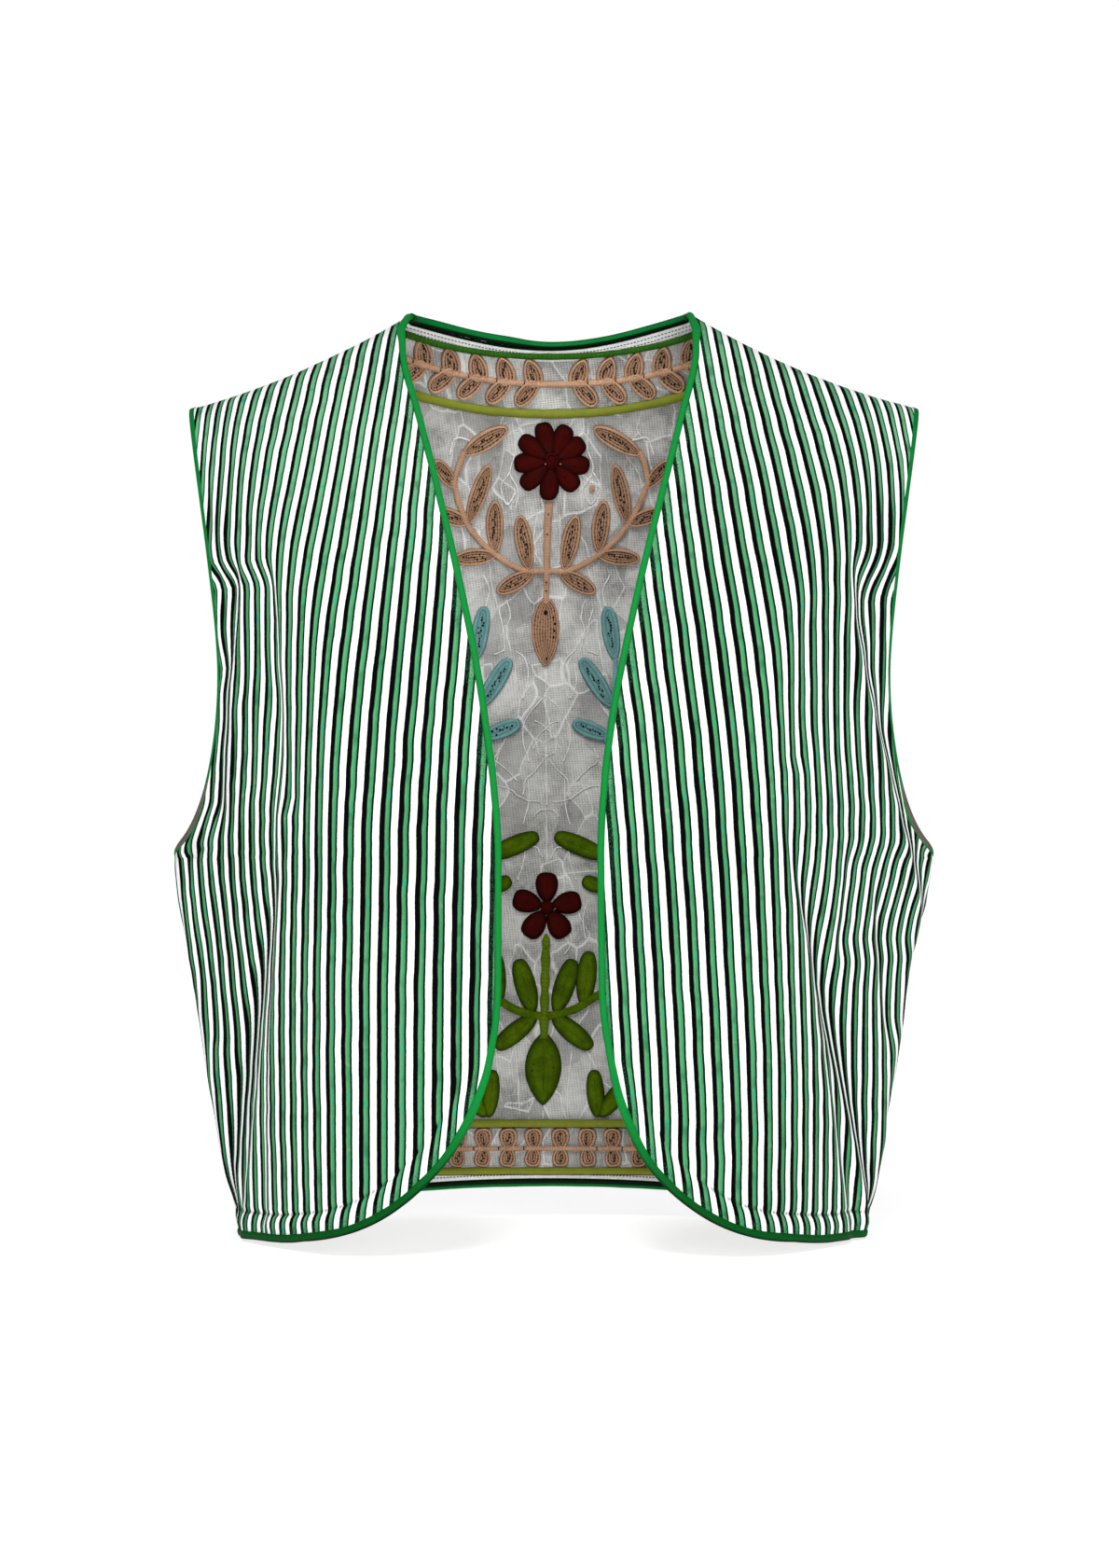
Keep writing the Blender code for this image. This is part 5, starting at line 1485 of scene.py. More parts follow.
    def back(self) -> None:
        """The striped back, its lining and their bindings."""
        grid, last = self.grids["back"], self.armhole_end
        middle, neck = grid.points.shape[1] // 2, PanelCutter(self.form).neck_columns
        top = np.s_[middle - neck:middle + neck + 1]
        armholes = [grid.points[:last + 1, 0], grid.points[:last + 1, -1]]
        outer = np.min([distance_to_line(grid.points, line) for line in armholes], axis=0)
        ends = (grid.points[0, top], grid.points[-1])
        bands = np.min([distance_to_line(grid.points, line) for line in ends], axis=0)
        edge = np.minimum(outer, bands)
        seam = np.abs(np.abs(grid.along) - self.form.seam(grid.height, Panel.BACK))
        rows = np.arange(grid.points.shape[0])[:, None] * self.row_ease
        calm = np.minimum(edge, np.minimum(seam, rows))
        unrest = self._unrest(grid, Panel.BACK, outer)
        lift, wander = self._puckers(grid, calm, unrest, 21)
        count = BACK_STRIPES.at(Side.LEFT, grid.height, grid.along) + wander
        up = grid.cloth_length()
        # Where painted shade darkens the stripes: drawn-in cloth by the armholes and sunken puckers.
        crease_shade = clamped(0.4 * unrest + np.clip(-lift / 0.002, 0, 0.4))
        maps = on_both_faces(cloth=(count, up), margin=(edge, np.ones_like(edge)), relief=(crease_shade, crease_shade))
        points, faces, _ = shell(grid.moved(lift), grid.moved(-BACK_WALL))
        piece = make_piece("striped_back", points, faces, maps, self.wardrobe.give(Finish.STRIPED))
        enter(piece, Finish.STRIPED, "back")
        strips = [self._armhole(side) for side in Side]
        for node, place, inward, half in (("binding_neck_back", np.s_[0, top], np.s_[1, top], 0.002),
                                          ("binding_hem_back", np.s_[-1], np.s_[-2], 0.0024)):
            ends = (grid.points[place], grid.normals[place], grid.points[inward])
            higher = 0.0018 * ease_in(-ends[0][:, 0] / 0.03) * (node == "binding_neck_back")
            strips.append(self._binding(node, ends, LINED_WALL, half + higher * 0.4, 0.0009, TRIM + higher,
                                        finish=Finish.DARK_BINDING))
        soft = SoftNoise(5)
        waves = soft.at(grid.along / 0.013 + 5, up / 0.03) + soft.at(grid.along / 0.006, up / 0.014 + 3) * 0.5
        rise = 0.00024 * (waves + 1.2) * ease_in(calm / 0.012)
        points, faces, _ = shell(grid.moved(-BACK_WALL - GAP), grid.moved(-LINED_WALL - rise))
        maps = on_both_faces(cloth=(grid.points[..., 0], up), margin=(bands, bands))
        piece = make_piece("embroidered_lining", points, faces, maps, self.wardrobe.give(Finish.LINING))
        enter(piece, Finish.LINING, "back_lining")

    def build(self) -> None:
        """Build everything."""
        self.cut()
        for side in Side:
            self.front(side)
        self.back()


# ------------------------------ embroidery


CLEAR = 0.001                 # the work stands this far off the lining
SUNK = -CLEAR * 0.4           # a cord lies this far into that
THREAD_SUNK = -CLEAR * 0.7


class Relief(NamedTuple):
    """Raised rows inside an outline: how many, their grooves' and tops' heights, and their rim."""

    rows: int
    floor: float
    top: float
    rim: float = 1.35
    rim_top: float = 0.0027
    steps: int = 4

    def rings(self) -> list[tuple[float, float, float]]:
        """Inset, height and row number of every ring from the edge to the middle."""
        widths = np.array([self.rim] + [1.0] * (self.rows - 1))
        starts = np.concatenate(([0.0], np.cumsum(widths))) / widths.sum()
        found = []
        for row in range(self.rows):
            tall = self.rim_top if row == 0 else self.top
            for step in range(self.steps):
                share = step / self.steps
                low = 0.0 if row == 0 and step == 0 else self.floor
                lift = low + (tall - self.floor) * math.sin(math.pi * share) ** 0.7
                found.append((starts[row] + (starts[row + 1] - starts[row]) * share, lift, row + share))
        return found + [(1.0, self.floor, float(self.rows))]


# Felt rings: inset, height and row number; row numbers near 1 at the edge give painted shade round the
# outline.
FELT_RINGS = ((0.0, 0.0, 1.0), (0.05, 0.001, 0.96), (0.14, 0.0018, 0.88), (0.34, 0.0027, 0.8),
              (0.6, 0.0033, 0.7), (0.84, 0.0035, 0.6), (1.0, 0.0034, 0.5))


class Shape(Enum):
    """How a leaf's outline swells: its fullness at the base and at the tip, and its lean to the base."""

    DOME = (0.62, 1.3, 0.24)
    BUD = (1.7, 1.55, 0.08)
    DROP = (0.8, 0.8, -0.04)
    LONG = (1.2, 1.05, -0.06)
    TONGUE = (1.0, 0.72, -0.06)
    SPINDLE = (0.9, 1.45, 0.1)
    PETAL = (1.4, 0.72, -0.3)


class Leaf(NamedTuple):
    """A leaf on one side of the centre line: its base, its tip and its width."""

    base_x: float
    base_z: float
    tip_x: float
    tip_z: float
    width: float


def leaf_outline(side: int, leaf: Leaf, shape: Shape, inset: float = 0.0, count: int = 18) -> Array:
    """Points round a leaf from its base and back, inset by a share of its half width."""
    base, tip = np.array([side * leaf.base_x, leaf.base_z]), np.array([side * leaf.tip_x, leaf.tip_z])
    along = tip - base
    length = float(np.linalg.norm(along))
    aside = unit(np.array([-along[1], along[0]])) * leaf.width / 2
    turn = np.linspace(0, np.pi, count + 1)
    first, last, lean = shape.value
    wide = np.sin(turn) ** (first + (last - first) * (1 - np.cos(turn)) / 2)
    wide *= (1 + lean * np.cos(turn)) / (1 + abs(lean) * 0.25) * (1 - inset)
    kept = max(0.12, 1 - inset * leaf.width / length * 0.85)
    spine = base + along * (0.5 - np.cos(turn) / 2 * kept)[:, None]
    return np.concatenate((spine + aside * wide[:, None], (spine - aside * wide[:, None])[-2:0:-1]))


def through(points: Sequence[tuple[float, ...]], count: int) -> Array:
    """A smooth line of evenly spaced points through known ones."""
    known = np.asarray(points, float)
    run = run_along(known)
    places = np.linspace(0, run[-1], count)
    segment = np.clip(np.searchsorted(run, places, side="right") - 1, 0, len(run) - 2)
    slope = np.gradient(known, run, axis=0)
    width = (run[segment + 1] - run[segment])[:, None]
    t = (places[:, None] - run[segment][:, None]) / width
    return ((1 + 2 * t) * (1 - t) ** 2 * known[segment] + t * (1 - t) ** 2 * width * slope[segment]
            + t * t * (3 - 2 * t) * known[segment + 1] + t * t * (t - 1) * width * slope[segment + 1])


Drift = Sequence[tuple[float, float]]


@dataclass
class FlatWork:
    """Raised work drawn flat in x and z, with its height off the lining as the third measure."""

    form: HangingForm
    wardrobe: Wardrobe
    strips: list[tuple[Strip, int]] = field(default_factory=list)
    finishes: list[Finish] = field(default_factory=list)

    def _keep(self, strip: Strip, finish: Finish) -> None:
        """Add a strip in a finish."""
        if finish not in self.finishes:
            self.finishes.append(finish)
        self.strips.append((strip, self.finishes.index(finish)))

    def cord(self, line: Array, radius: float | Array, base: float, finish: Finish, flatness: float = 0.9,
             closed: bool = False, sides: int = 8) -> None:
        """Lay a cord along a line."""
        radii = np.broadcast_to(np.asarray(radius, float), (len(line),))
        path = np.column_stack((line, base + radii * flatness))
        along = unit(np.roll(line, -1, 0) - np.roll(line, 1, 0) if closed else np.gradient(line, axis=0))
        across = np.column_stack((-along[:, 1], along[:, 0], np.zeros(len(line))))
        lift = np.tile([0.0, 0.0, 1.0], (len(line), 1))
        self._keep(sweep(path, across, lift, radii, radii * flatness, sides, closed), finish)

    def dome(self, rings: Sequence[Array], lifts: Sequence[float], rows: Sequence[float],
             finish: Finish) -> None:
        """A closed raised form over nested outlines.

        Args:
            rings: Outlines from the edge in, with the same number of points each.
            lifts: Each outline's height.
            rows: Each outline's row number, for the stitches.
            finish: Its finish.
        """
        count, edge = len(rings[0]), rings[0]
        run = run_along(edge)
        poles = np.array([[*rings[-1].mean(0), lifts[-1]], [*edge.mean(0), 0.0]])
        points = np.concatenate([np.column_stack((ring, np.full(count, lift)))
                                 for ring, lift in zip(rings, lifts)] + [poles])
        around = np.concatenate([np.column_stack((np.full(count, row), run)) for row in rows]
                                + [np.array([[rows[-1], 0.0], [0.0, 0.0]])])
        k = np.arange(count)
        after, top = (k + 1) % count, len(rings) * count
        faces = [np.stack((a + k, a + after, a + count + after, a + count + k), -1)
                 for a in range(0, top - count, count)]
        faces.append(np.stack((top - count + k, top - count + after, np.full(count, top),
                               np.full(count, top)), -1))
        faces.append(np.stack((after, k, np.full(count, top + 1), np.full(count, top + 1)), -1))
        self._keep(Strip(points, np.concatenate(faces), around), finish)

    def leaf(self, side: int, leaf: Leaf, shape: Shape, finish: Finish, relief: Relief | None = None) -> None:
        """A leaf of stitched rows inside a corded rim, or of smooth felt."""
        insets, lifts, rows = zip(*(relief.rings() if relief else FELT_RINGS))
        self.dome([leaf_outline(side, leaf, shape, inset) for inset in insets], lifts, rows, finish)
        # Dark spots of painted shade in the stitch holes down the leaf's middle.
        if relief and shape is not Shape.SPINDLE:
            base, tip = np.array([side * leaf.base_x, leaf.base_z]), np.array([side * leaf.tip_x, leaf.tip_z])
            along = tip - base
            aside = unit(np.array([-along[1], along[0]])) * leaf.width
            count = int(np.linalg.norm(along) / 0.0025)
            off = SoftNoise(int(abs(tip[0] * 9000)) + side).at(np.arange(count) * 2.3, np.arange(count) * 1.0)
            for k in range(1, count):
                share = 0.2 + 0.64 * k / count
                place = base + along * share + aside * 0.16 * off[k] * (1.5 - share)
                self.spot(place, 0.00044 + 0.0003 * abs(off[k - 1]), relief.top + 0.0006, Finish.SHADOW, 1.2)

    def spot(self, place: Sequence[float], radius: float, height: float, finish: Finish,
             long: float = 1.0) -> None:
        """A small raised spot."""
        turn = np.linspace(0, 2 * math.pi, 11)[:-1]
        ring = np.column_stack((np.cos(turn), np.sin(turn) * long)) * radius
        self.dome([np.asarray(place) + ring * share for share in (1.0, 0.96, 0.6)],
                  [0.0, height * 0.88, height], [0.5] * 3, finish)

    def lay(self, name: str, nodes: Sequence[str], finish: Finish, drift: Drift) -> bpy.types.Object:
        """Lay the work on the lining as one piece.

        Args:
            name: The piece's name.
            nodes: The solids that it stands for.
            finish: Its main finish; not used.
            drift: How far it moves over in x, by height.

        Returns:
            The piece.
        """
        whole = joined([strip for strip, _ in self.strips])
        numbers = np.concatenate([np.full(len(strip.faces), number) for strip, number in self.strips])
        heights, moves = zip(*drift)
        x = whole.points[:, 0] + np.interp(whole.points[:, 1], heights, moves)
        points = lining_place(self.form, x, whole.points[:, 1], CLEAR + whole.points[:, 2])
        piece = make_piece(name, points, whole.faces, {"thread": whole.around},
                           self.wardrobe.give(*self.finishes), numbers)
        enter(piece, finish, *nodes)
        return piece


def lining_place(form: HangingForm, x: Array, height: Array, lift: Array) -> Array:
    """Points over the lining's inner face, at distances off it into the hollow."""
    points = np.zeros((len(x), 3))
    for side in Side:
        pick = (x >= 0) if side is Side.LEFT else (x < 0)
        if pick.any():
            reach, level = np.abs(x[pick]), height[pick]
            place, normal = form.faced(side, level, form.along_at(level, reach, Panel.BACK), Panel.BACK)
            points[pick] = place - normal * (LINED_WALL + lift[pick])[:, None]
    return points


class CordPlan(NamedTuple):
    """A couched cord: its height at the middle, its rise towards the neck points, width and reach."""

    node: str
    height: float
    rise: float
    thickness: float
    reach: float
    finish: Finish


class BorderPlan(NamedTuple):
    """A stem with pairs of leaves: places and sizes."""

    node: str
    x: float
    height: float
    rise: float
    stem: float
    long: float
    wide: float
    lean: float
    first: float
    pitch: float
    pairs: int
    has_middle: bool


@dataclass
class BandWork:
    """Cords and leaf borders along the neck and the hem of the lining."""

    form: HangingForm
    wardrobe: Wardrobe
    rows: Relief = Relief(3, 0.0006, 0.0015)
    cords: tuple[CordPlan, ...] = rows_of(
        CordPlan,
        ("neck_cord_upper", -0.0166, 0.0098, 0.0034, 0.0905, Finish.GRASS),
        ("neck_cord_lower", -0.0504, 0.0108, 0.0052, 0.126, Finish.OLIVE),
        ("hem_cord_upper", -0.496, 0.0, 0.0052, 0.135, Finish.OLIVE),
        ("hem_cord_lower", -0.5258, 0.0, 0.0046, 0.135, Finish.OLIVE))
    borders: tuple[BorderPlan, ...] = rows_of(
        BorderPlan,
        ("neck_leaf_border", 0.0035, -0.033, 0.0112, 0.0036, 0.0148, 0.0126, 0.4, 0.0125, 0.0175, 5, False),
        ("hem_leaf_border", 0.0062, -0.5118, 0.0, 0.003, 0.013, 0.0122, 0.07, 0.0164, 0.016, 7, True))

    def _line(self, x: Array, height: float, rise: float) -> Array:
        """Points of a band's line at distances from the middle."""
        share = np.abs(x) / self.form.neck_reach
        return np.column_stack((x, height + rise * share ** self.form.band_curve))

    def couched(self, plan: CordPlan) -> None:
        """One cord with a painted shadow line along its lower edge."""
        work = FlatWork(self.form, self.wardrobe)
        x = np.linspace(-plan.reach, plan.reach, 181)
        wave = 1 + 0.05 * SoftNoise(3).at(x / 0.006 + 40, np.zeros_like(x))
        line = self._line(x, plan.height, plan.rise)
        work.cord(line, plan.thickness / 2 * wave, SUNK, plan.finish, 0.95, sides=12)
        # Painted shadow: a dark cord just below the couched cord.
        work.cord(line + [0.0, -plan.thickness * 0.52], 0.0006, -CLEAR, Finish.SHADOW)
        work.lay("couched_" + plan.node, [plan.node], plan.finish, ((0.0, 0.0),))

    def border(self, plan: BorderPlan) -> None:
        """One leaf border: a jointed cord stem, and leaves with corded rims and stitched rows."""
        work = FlatWork(self.form, self.wardrobe)
        places = [plan.first + plan.pitch * k for k in range(plan.pairs)]
        reach = places[-1] + plan.pitch * 0.75
        x = np.linspace(-reach, reach, 241)
        joints = [k * plan.pitch + plan.first + plan.pitch * 0.42 for k in range(plan.pairs)]
        joints += [-joint for joint in joints]
        pinch = 1 - 0.4 * sum(hump(x, joint, 0.0008) for joint in joints)
        line = self._line(x, plan.height, plan.rise)
        work.cord(line, plan.stem / 2 * pinch, SUNK, Finish.TAN, sides=10)
        for joint in joints:
            foot = self._line(np.array([joint]), plan.height, plan.rise)[0]
            work.spot(foot, 0.0005, plan.stem * 0.55, Finish.SHADOW, 2.6)
        spots = [(-place, -1) for place in places] + [(place, 1) for place in places]
        if plan.has_middle:
            spots.append((0.0, 0))
        for spot, lean in spots:
            foot = self._line(np.array([spot]), plan.height, plan.rise)[0]
            ends = self._line(np.array([spot - 0.001, spot + 0.001]), plan.height, plan.rise)
            along = unit(ends[1] - ends[0])
            for up, shape, share in ((1, Shape.PETAL if plan.has_middle else Shape.DOME, 1.0),
                                     (-1, Shape.PETAL if plan.has_middle else Shape.DROP, 0.9)):
                rise = np.array([-along[1], along[0]]) * up
                slant = lean * plan.lean * (1.0 if up > 0 else 2.3)
                tip = foot + (rise + along * slant) * plan.long * share
                leaf = Leaf(*foot - rise * 0.0018 - along * lean * plan.lean * 0.002, *tip, plan.wide * share)
                work.leaf(1, leaf, shape, Finish.TAN, self.rows)
        work.lay("stitched_" + plan.node, [plan.node], Finish.TAN, ((0.0, plan.x),))

    def build(self) -> None:
        """Build every band."""
        for cord in self.cords:
            self.couched(cord)
        for border in self.borders:
            self.border(border)


def tenths(*rows: tuple[int, ...]) -> tuple[tuple[float, ...], ...]:
    """Rows of metres from rows of tenths of a millimetre."""
    return tuple(tuple(number / 10000 for number in row) for row in rows)


def leaves(*rows: tuple[int, int, int, int, int]) -> tuple[Leaf, ...]:
    """Leaves from their measures in tenths of a millimetre."""
    return tuple(Leaf(*row) for row in tenths(*rows))


@dataclass
class SprigWork:
    """Leafy sprigs and flowers on the lining, and the white thread lines between them."""

    form: HangingForm
    wardrobe: Wardrobe
    drift: tuple = ((-0.47, -0.0048), (-0.42, -0.0038), (-0.36, -0.0024), (-0.26, -0.0026), (-0.187, -0.0034),
                    (-0.12, -0.002), (-0.08, 0.001), (-0.06, 0.0))
    rows: Relief = Relief(3, 0.0006, 0.0016)
    spindle_rows: Relief = Relief(5, 0.0008, 0.0019, 1.1, 0.0024)
    tan_stem: tuple = tenths((0, -1042), (0, -1300), (0, -1470), (0, -1680))
    tan_branch: tuple = tenths((0, -1475), (110, -1475), (230, -1435), (340, -1360), (440, -1270),
                         (510, -1178), (570, -1050), (620, -900))
    tan_twig: tuple = tenths((612, -915), (585, -820), (550, -730))
    tan_leaves: tuple[Leaf, ...] = leaves((80, -1482, 315, -1612, 118), (110, -1470, 180, -1125, 118),
            (325, -1360, 345, -1035, 118), (320, -1375, 590, -1400, 112), (505, -1180, 395, -815, 112),
            (505, -1180, 720, -1100, 105), (560, -755, 270, -590, 118), (600, -960, 740, -790, 95))
    tan_spindle: Leaf = leaves((0, -1650, 0, -2085, 180))[0]
    teal_stem: tuple = tenths((445, -2000), (435, -2200), (410, -2400), (375, -2560))
    teal_leaves: tuple[Leaf, ...] = leaves((440, -2040, 390, -1705, 112), (420, -2345, 225, -2035, 116),
            (400, -2535, 165, -2440, 108))
    green_stem: tuple = tenths((0, -3772), (0, -4000), (0, -4430))
    green_branch: tuple = tenths((0, -4290), (100, -4275), (200, -4240), (300, -4180), (410, -4110))
    green_leaves: tuple[Leaf, ...] = leaves((70, -4270, 175, -3930, 136), (245, -4225, 275, -3880, 128),
            (50, -4285, 305, -4490, 128))
    green_spindle: Leaf = leaves((0, -4385, 0, -4850, 236))[0]
    side_stem: tuple = tenths((345, -3220), (350, -3380), (350, -3540))
    side_leaves: tuple[Leaf, ...] = leaves((380, -3290, 50, -3150, 125), (360, -3490, 225, -3430, 100))
    corner_leaves: tuple[Leaf, ...] = leaves((345, -4925, 320, -4625, 115), (360, -4920, 530, -4700, 115))
    thread_lines: tuple = tuple(tenths(*line) for line in (
        ((0, -2090), (0, -2300), (0, -2620), (0, -2960)),
        ((0, -2265), (95, -2370), (140, -2450), (150, -2545), (110, -2680)),
        ((0, -2475), (42, -2440), (75, -2430)), ((0, -2475), (55, -2530), (80, -2600)),
        ((0, -2650), (50, -2630), (62, -2560)),
        ((0, -2650), (70, -2740), (130, -2800), (150, -2900)),
        ((115, -2790), (120, -2980), (150, -3080)),
        ((40, -2940), (120, -2930), (260, -2850), (330, -2835)),
        ((0, -2985), (55, -3000), (80, -3035)),
        ((0, -3020), (0, -3150), (0, -3330)),
        ((25, -3290), (70, -3225), (120, -3230), (150, -3330), (185, -3430)),
        ((190, -1980), (130, -2040), (120, -2200), (150, -2285), (185, -2220),
         (190, -2060)),
        ((300, -1720), (270, -1850), (275, -1990), (330, -2010)),
        ((250, -1660), (225, -1760), (245, -1850), (220, -1990)),
        ((330, -2680), (250, -2740), (185, -2810)), ((300, -2600), (350, -2720)),
        ((240, -560), (225, -720), (260, -860), (200, -980), (210, -1080)),
        ((260, -860), (310, -950), (260, -1060), (215, -985)),
        ((280, -560), (360, -640), (420, -620)), ((70, -1120), (85, -1300), (75, -1420)),
        ((120, -3700), (160, -3820), (120, -3900)), ((260, -3560), (230, -3680), (250, -3800)),
        ((180, -4500), (160, -4680), (150, -4900)), ((300, -4520), (290, -4700), (310, -4880)),
        ((0, -4880), (0, -4930)),
        ((480, -680), (600, -660), (640, -760)), ((400, -1500), (360, -1600), (380, -1700))))

    def _new(self) -> FlatWork:
        """Start a piece."""
        return FlatWork(self.form, self.wardrobe)

    def tan(self) -> None:
        """The tan sprig above."""
        work = self._new()
        taper = np.linspace(0.0027, 0.0018, 40)
        work.cord(through(self.tan_stem, len(taper)), taper, SUNK, Finish.TAN, 0.7, sides=10)
        for height in (-0.1115, -0.124, -0.1545, -0.16):
            work.spot((0.0, height), 0.0005, 0.0036, Finish.SHADOW, 1.4)
        for side in (-1, 1):
            for line in (self.tan_branch, self.tan_twig):
                path = through(line, 60) * [side, 1]
                work.cord(path, 0.0019, SUNK, Finish.TAN, 0.75, sides=10)
            for leaf in self.tan_leaves:
                work.leaf(side, leaf, Shape.LONG, Finish.TAN, self.rows)
        work.leaf(1, self.tan_spindle, Shape.SPINDLE, Finish.TAN, self.spindle_rows)
        work.spot((0.0, -0.1745), 0.0011, 0.0023, Finish.SHADOW, 1.6)
        for x, z in tenths((50, -1775), (60, -1815), (58, -1860), (52, -1900), (8, -2035)):
            work.spot((x, z), 0.0007, 0.0022, Finish.SHADOW, 1.3)
        work.spot((0.0262, -0.0965), 0.0018, 0.0012, Finish.TAN, 1.3)
        work.lay("stitched_sprig_tan", ["sprig_tan"], Finish.TAN, self.drift)

    def green(self) -> None:
        """The green sprig below."""
        work = self._new()
        stem = through(self.green_stem, 60)
        swell = 0.0028 * (1 + 0.14 * np.sin(stem[:, 1] / 0.0021))
        swell = swell * np.interp(stem[:, 1], (-0.382, -0.3772), (1, 0.3))
        work.cord(stem, swell, SUNK, Finish.STEM, 0.7, sides=10)
        for height in (-0.3862, -0.392, -0.447):
            work.spot((0.0, height), 0.0006, 0.0034, Finish.SHADOW, 0.7)
        for side in (-1, 1):
            branch = through(self.green_branch, 40) * [side, 1]
            work.cord(branch, 0.0027, SUNK, Finish.LEAF, 0.7, sides=10)
            for k, leaf in enumerate(self.green_leaves):
                out = 0.005 if side < 0 and k == 1 else 0.0
                leaf = leaf._replace(base_x=leaf.base_x + out, tip_x=leaf.tip_x + out)
                work.leaf(side, leaf, Shape.TONGUE, Finish.LEAF)
        work.leaf(1, self.green_spindle, Shape.BUD, Finish.LEAF)
        for x, z in tenths((50, -4580), (62, -4610), (55, -4645), (-62, -4590), (-70, -4630)):
            work.spot((x, z), 0.0006, 0.0031, Finish.SHADOW, 1.3)
        work.lay("padded_sprig_green", ["sprig_green"], Finish.LEAF, self.drift)

    def sides(self) -> None:
        """Teal sprigs, and the green leaves beside the lower flower and above the hem."""
        teal_rows = Relief(2, 0.001, 0.0018, 1.2, 0.0023)
        teal, leaf_green = ("stitched_", Finish.TEAL, teal_rows), ("padded_", Finish.LEAF, None)
        plans = (("sprig_teal_", *teal, self.teal_leaves, (self.teal_stem, 50, 0.0015, 0.8)),
                 ("leaves_green_", *leaf_green, self.side_leaves, (self.side_stem, 40, 0.0021, 0.7)),
                 ("leaves_corner_", *leaf_green, self.corner_leaves, None))
        for side in Side:
            for node, kind, finish, relief, leaves_there, stem in plans:
                work = self._new()
                if stem:
                    line, count, radius, flatness = stem
                    work.cord(through(line, count) * [side.value, 1], radius, SUNK, finish, flatness)
                for leaf in leaves_there:
                    work.leaf(side.value, leaf, Shape.TONGUE, finish, relief)
                work.lay(kind + node + side.word, [node + side.word], finish, self.drift)

    def flower(self, node: str, petals: Sequence[float], height: float, reach: float, width: float,
               heart: float, ring_up: float) -> None:
        """One felt flower with petals creased by lines of painted shade and a ringed button with painted
        shade round its edges.

        Args:
            node: The solid that it stands for.
            petals: The petals' directions in degrees, from +X up.
            height: Height of its middle.
            reach: How far its petals reach.
            width: A petal's width.
            heart: Reach of the button.
            ring_up: How far the button's ring lies above the middle.
        """
        work = self._new()
        middle = np.array([0.0, height])
        for k, degrees in enumerate(petals):
            turn = math.radians(degrees)
            along = np.array([math.cos(turn), math.sin(turn)])
            petal = Leaf(*(middle + along * reach * 0.1), *(middle + along * reach), width)
            insets, lifts, rows = zip(*FELT_RINGS)
            work.dome([leaf_outline(1, petal, Shape.PETAL, inset) for inset in insets],
                      [lift * (1 + 0.05 * (k % 3)) for lift in lifts], rows, Finish.MAROON)
            # Painted shade: a dark cord along each petal's crease.
            crease = middle + along * np.linspace(reach * 0.28, reach * 0.66, 8)[:, None]
            work.cord(crease, np.linspace(0.0006, 0.0002, 8), 0.003, Finish.SHADOW, 0.8, sides=6)
        turn = np.linspace(0, 2 * math.pi, 25)[:-1]
        circle = np.column_stack((np.cos(turn), np.sin(turn)))
        # Row numbers of 1 give painted shade round the button's and the ring's edges.
        work.dome([middle + circle * heart * share for share in (1.0, 0.94, 0.8, 0.5, 0.25)],
                  [0.0, 0.0022, 0.0032, 0.0036, 0.0037], [1.0, 1.0, 0.6, 0.5, 0.5], Finish.MAROON)
        shares = (0.86, 0.84, 0.7, 0.52, 0.46, 0.3)
        work.dome([middle + [0.0, ring_up] + circle * heart * share for share in shares],
                  [0.0, 0.0034, 0.0045, 0.0034, 0.0034, 0.004], [1.0, 1.0, 0.5, 1.0, 1.0, 0.5],
                  Finish.MAROON)
        for x in (-0.0042, 0.0052):
            work.spot(middle + [x, -0.001], 0.0005, 0.004, Finish.TAN)
        work.lay("felt_" + node, [node], Finish.MAROON, self.drift)

    def threads(self) -> None:
        """Fine white thread lines over the lining, much the same on both sides."""
        work = self._new()
        noise = SoftNoise(61)
        for number, points in enumerate(self.thread_lines):
            for side in (-1, 1):
                if side > 0 and points[0][0] == points[-1][0] == 0.0:
                    continue
                line = through([(side * x, z) for x, z in points], 12 * len(points))
                run = np.linspace(0, len(points) * 2.0, len(line))
                off = np.column_stack((noise.at(run + number, run * 0 + side + 2),
                                       noise.at(run + number + 20, run * 0 + side + 5)))
                width = 0.00036 + 0.00014 * noise.at(run * 1.7 + number, run * 0 + 9)
                work.cord(line + off * 0.0003, width, THREAD_SUNK, Finish.THREAD, 1.3, sides=5)
        work.lay("white_thread_lines", ["back_lining"], Finish.THREAD, self.drift)

    def build(self) -> None:
        """Build every sprig and flower."""
        self.threads()
        self.tan()
        self.green()
        self.sides()
        nine = (-8, 30, 63, 103, 145, 184, 222, 268, 314)
        self.flower("flower_upper", nine, -0.0795, 0.024, 0.0128, 0.005, 0.002)
        self.flower("flower_lower", (12, 90, 164, 236, 304), -0.3605, 0.0222, 0.0148, 0.0044, 0.0)


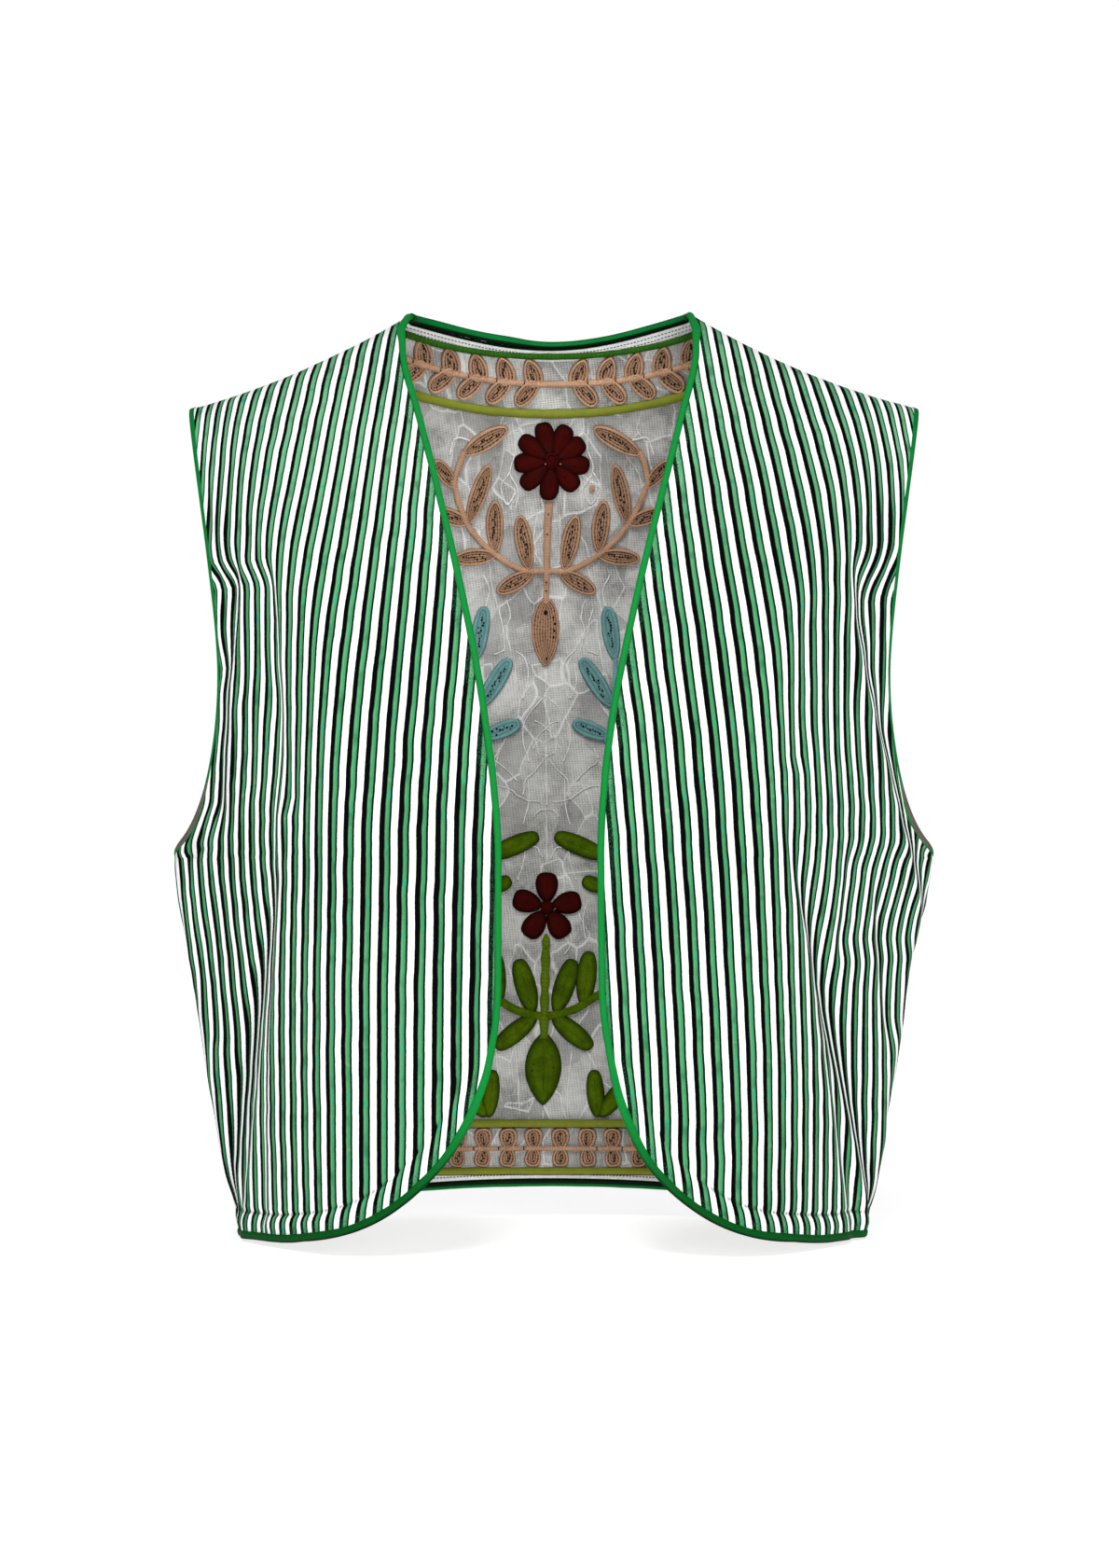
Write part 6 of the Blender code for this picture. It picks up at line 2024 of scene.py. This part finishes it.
@dataclass
class Studio:
    """Camera, floor and lights."""

    eye: tuple[float, float, float] = (0.0056, -2.2, -0.2826)
    pixel: float = 0.000563
    rows: int = 1681
    sensor: float = 36.0
    floor_gap: float = 0.0012
    ambient: float = 0.3

    def camera(self) -> None:
        """The camera, level and straight in front."""
        data = bpy.data.cameras.new("camera")
        data.sensor_fit, data.sensor_height, data.sensor_width = "VERTICAL", self.sensor, self.sensor
        data.lens = self.sensor * abs(self.eye[1]) / (self.rows * self.pixel)
        camera = bpy.data.objects.new("camera", data)
        camera.location, camera.rotation_euler = self.eye, (math.pi / 2, 0.0, 0.0)
        bpy.context.scene.collection.objects.link(camera)
        bpy.context.scene.camera = camera

    def floor(self, low: float) -> None:
        """A plain pale floor that glows as painted light, dimmer near the garment than far out."""
        size = 6.0
        points = np.array([(-size, -size, low), (size, -size, low), (size, size, low), (-size, size, low)])
        material, sketch, shader = start_material("pale_floor", 0.9)
        shader.inputs["Base Color"].default_value = (0.78, 0.78, 0.78, 1.0)
        shader.inputs["Emission Strength"].default_value = 1.0
        # Painted light: the floor's glow rises with distance from the garment.
        out = sketch.node("VectorMath", {0: sketch.node("TexCoord").out("Object")}, operation="LENGTH").out(1)
        sketch.put(shader.inputs["Emission Color"], sketch.mix(out.ramp(0.58, 1.1), (0.7,) * 3, (0.92,) * 3))
        floor = make_piece("floor", points, np.array([[0, 1, 2, 3]]), materials=[material])

    def light(self, name: str, place: tuple[float, float, float], aim: tuple[float, float, float],
              size: float, power: float) -> None:
        """One soft square light, with its side in metres and its power in watts."""
        data = bpy.data.lights.new(name, "AREA")
        data.shape, data.size, data.energy = "SQUARE", size, power
        lamp = bpy.data.objects.new(name, data)
        line = np.array(aim, float) - np.array(place, float)
        flat = math.hypot(line[0], line[1])
        lamp.location = place
        lamp.rotation_euler = (math.atan2(flat, -line[2]), 0.0, math.atan2(-line[0], line[1]))
        bpy.context.scene.collection.objects.link(lamp)

    def world(self) -> None:
        """A white backdrop that lights the garment only softly."""
        world = bpy.data.worlds.new("studio")
        world.use_nodes = True
        sketch = Sketch(world.node_tree)
        seen = sketch.node("LightPath").out("Is Camera Ray")
        background = world.node_tree.nodes["Background"]
        background.inputs["Color"].default_value = (1.0, 1.0, 1.0, 1.0)
        strength = sketch.node("MapRange", {0: seen, 1: 0.0, 2: 1.0, 3: self.ambient, 4: 1.0})
        sketch.put(background.inputs["Strength"], strength.out())
        bpy.context.scene.world = world

    def build(self, low: float) -> None:
        """Set everything up over a floor just below the garment's lowest height."""
        self.camera()
        self.floor(low - self.floor_gap)
        self.world()
        self.light("key", (-0.16, -1.5, 1.25), (0.0, 0.0, -0.28), 0.7, 29.0)
        self.light("fill", (0.4, -2.2, -0.1), (0.0, 0.0, -0.3), 1.0, 23.0)
        bpy.context.scene.view_settings.view_transform = "Standard"


def main() -> None:
    """Build the garment, its embroidery and the studio."""
    logging.basicConfig(level=logging.INFO, format="%(message)s")
    form = HangingForm()
    wardrobe = Wardrobe()
    ClothWalls(form, wardrobe).build()
    BandWork(form, wardrobe).build()
    SprigWork(form, wardrobe).build()
    Studio().build(float(SOLID_BOX[0][2]))


if __name__ == "__main__":
    main()
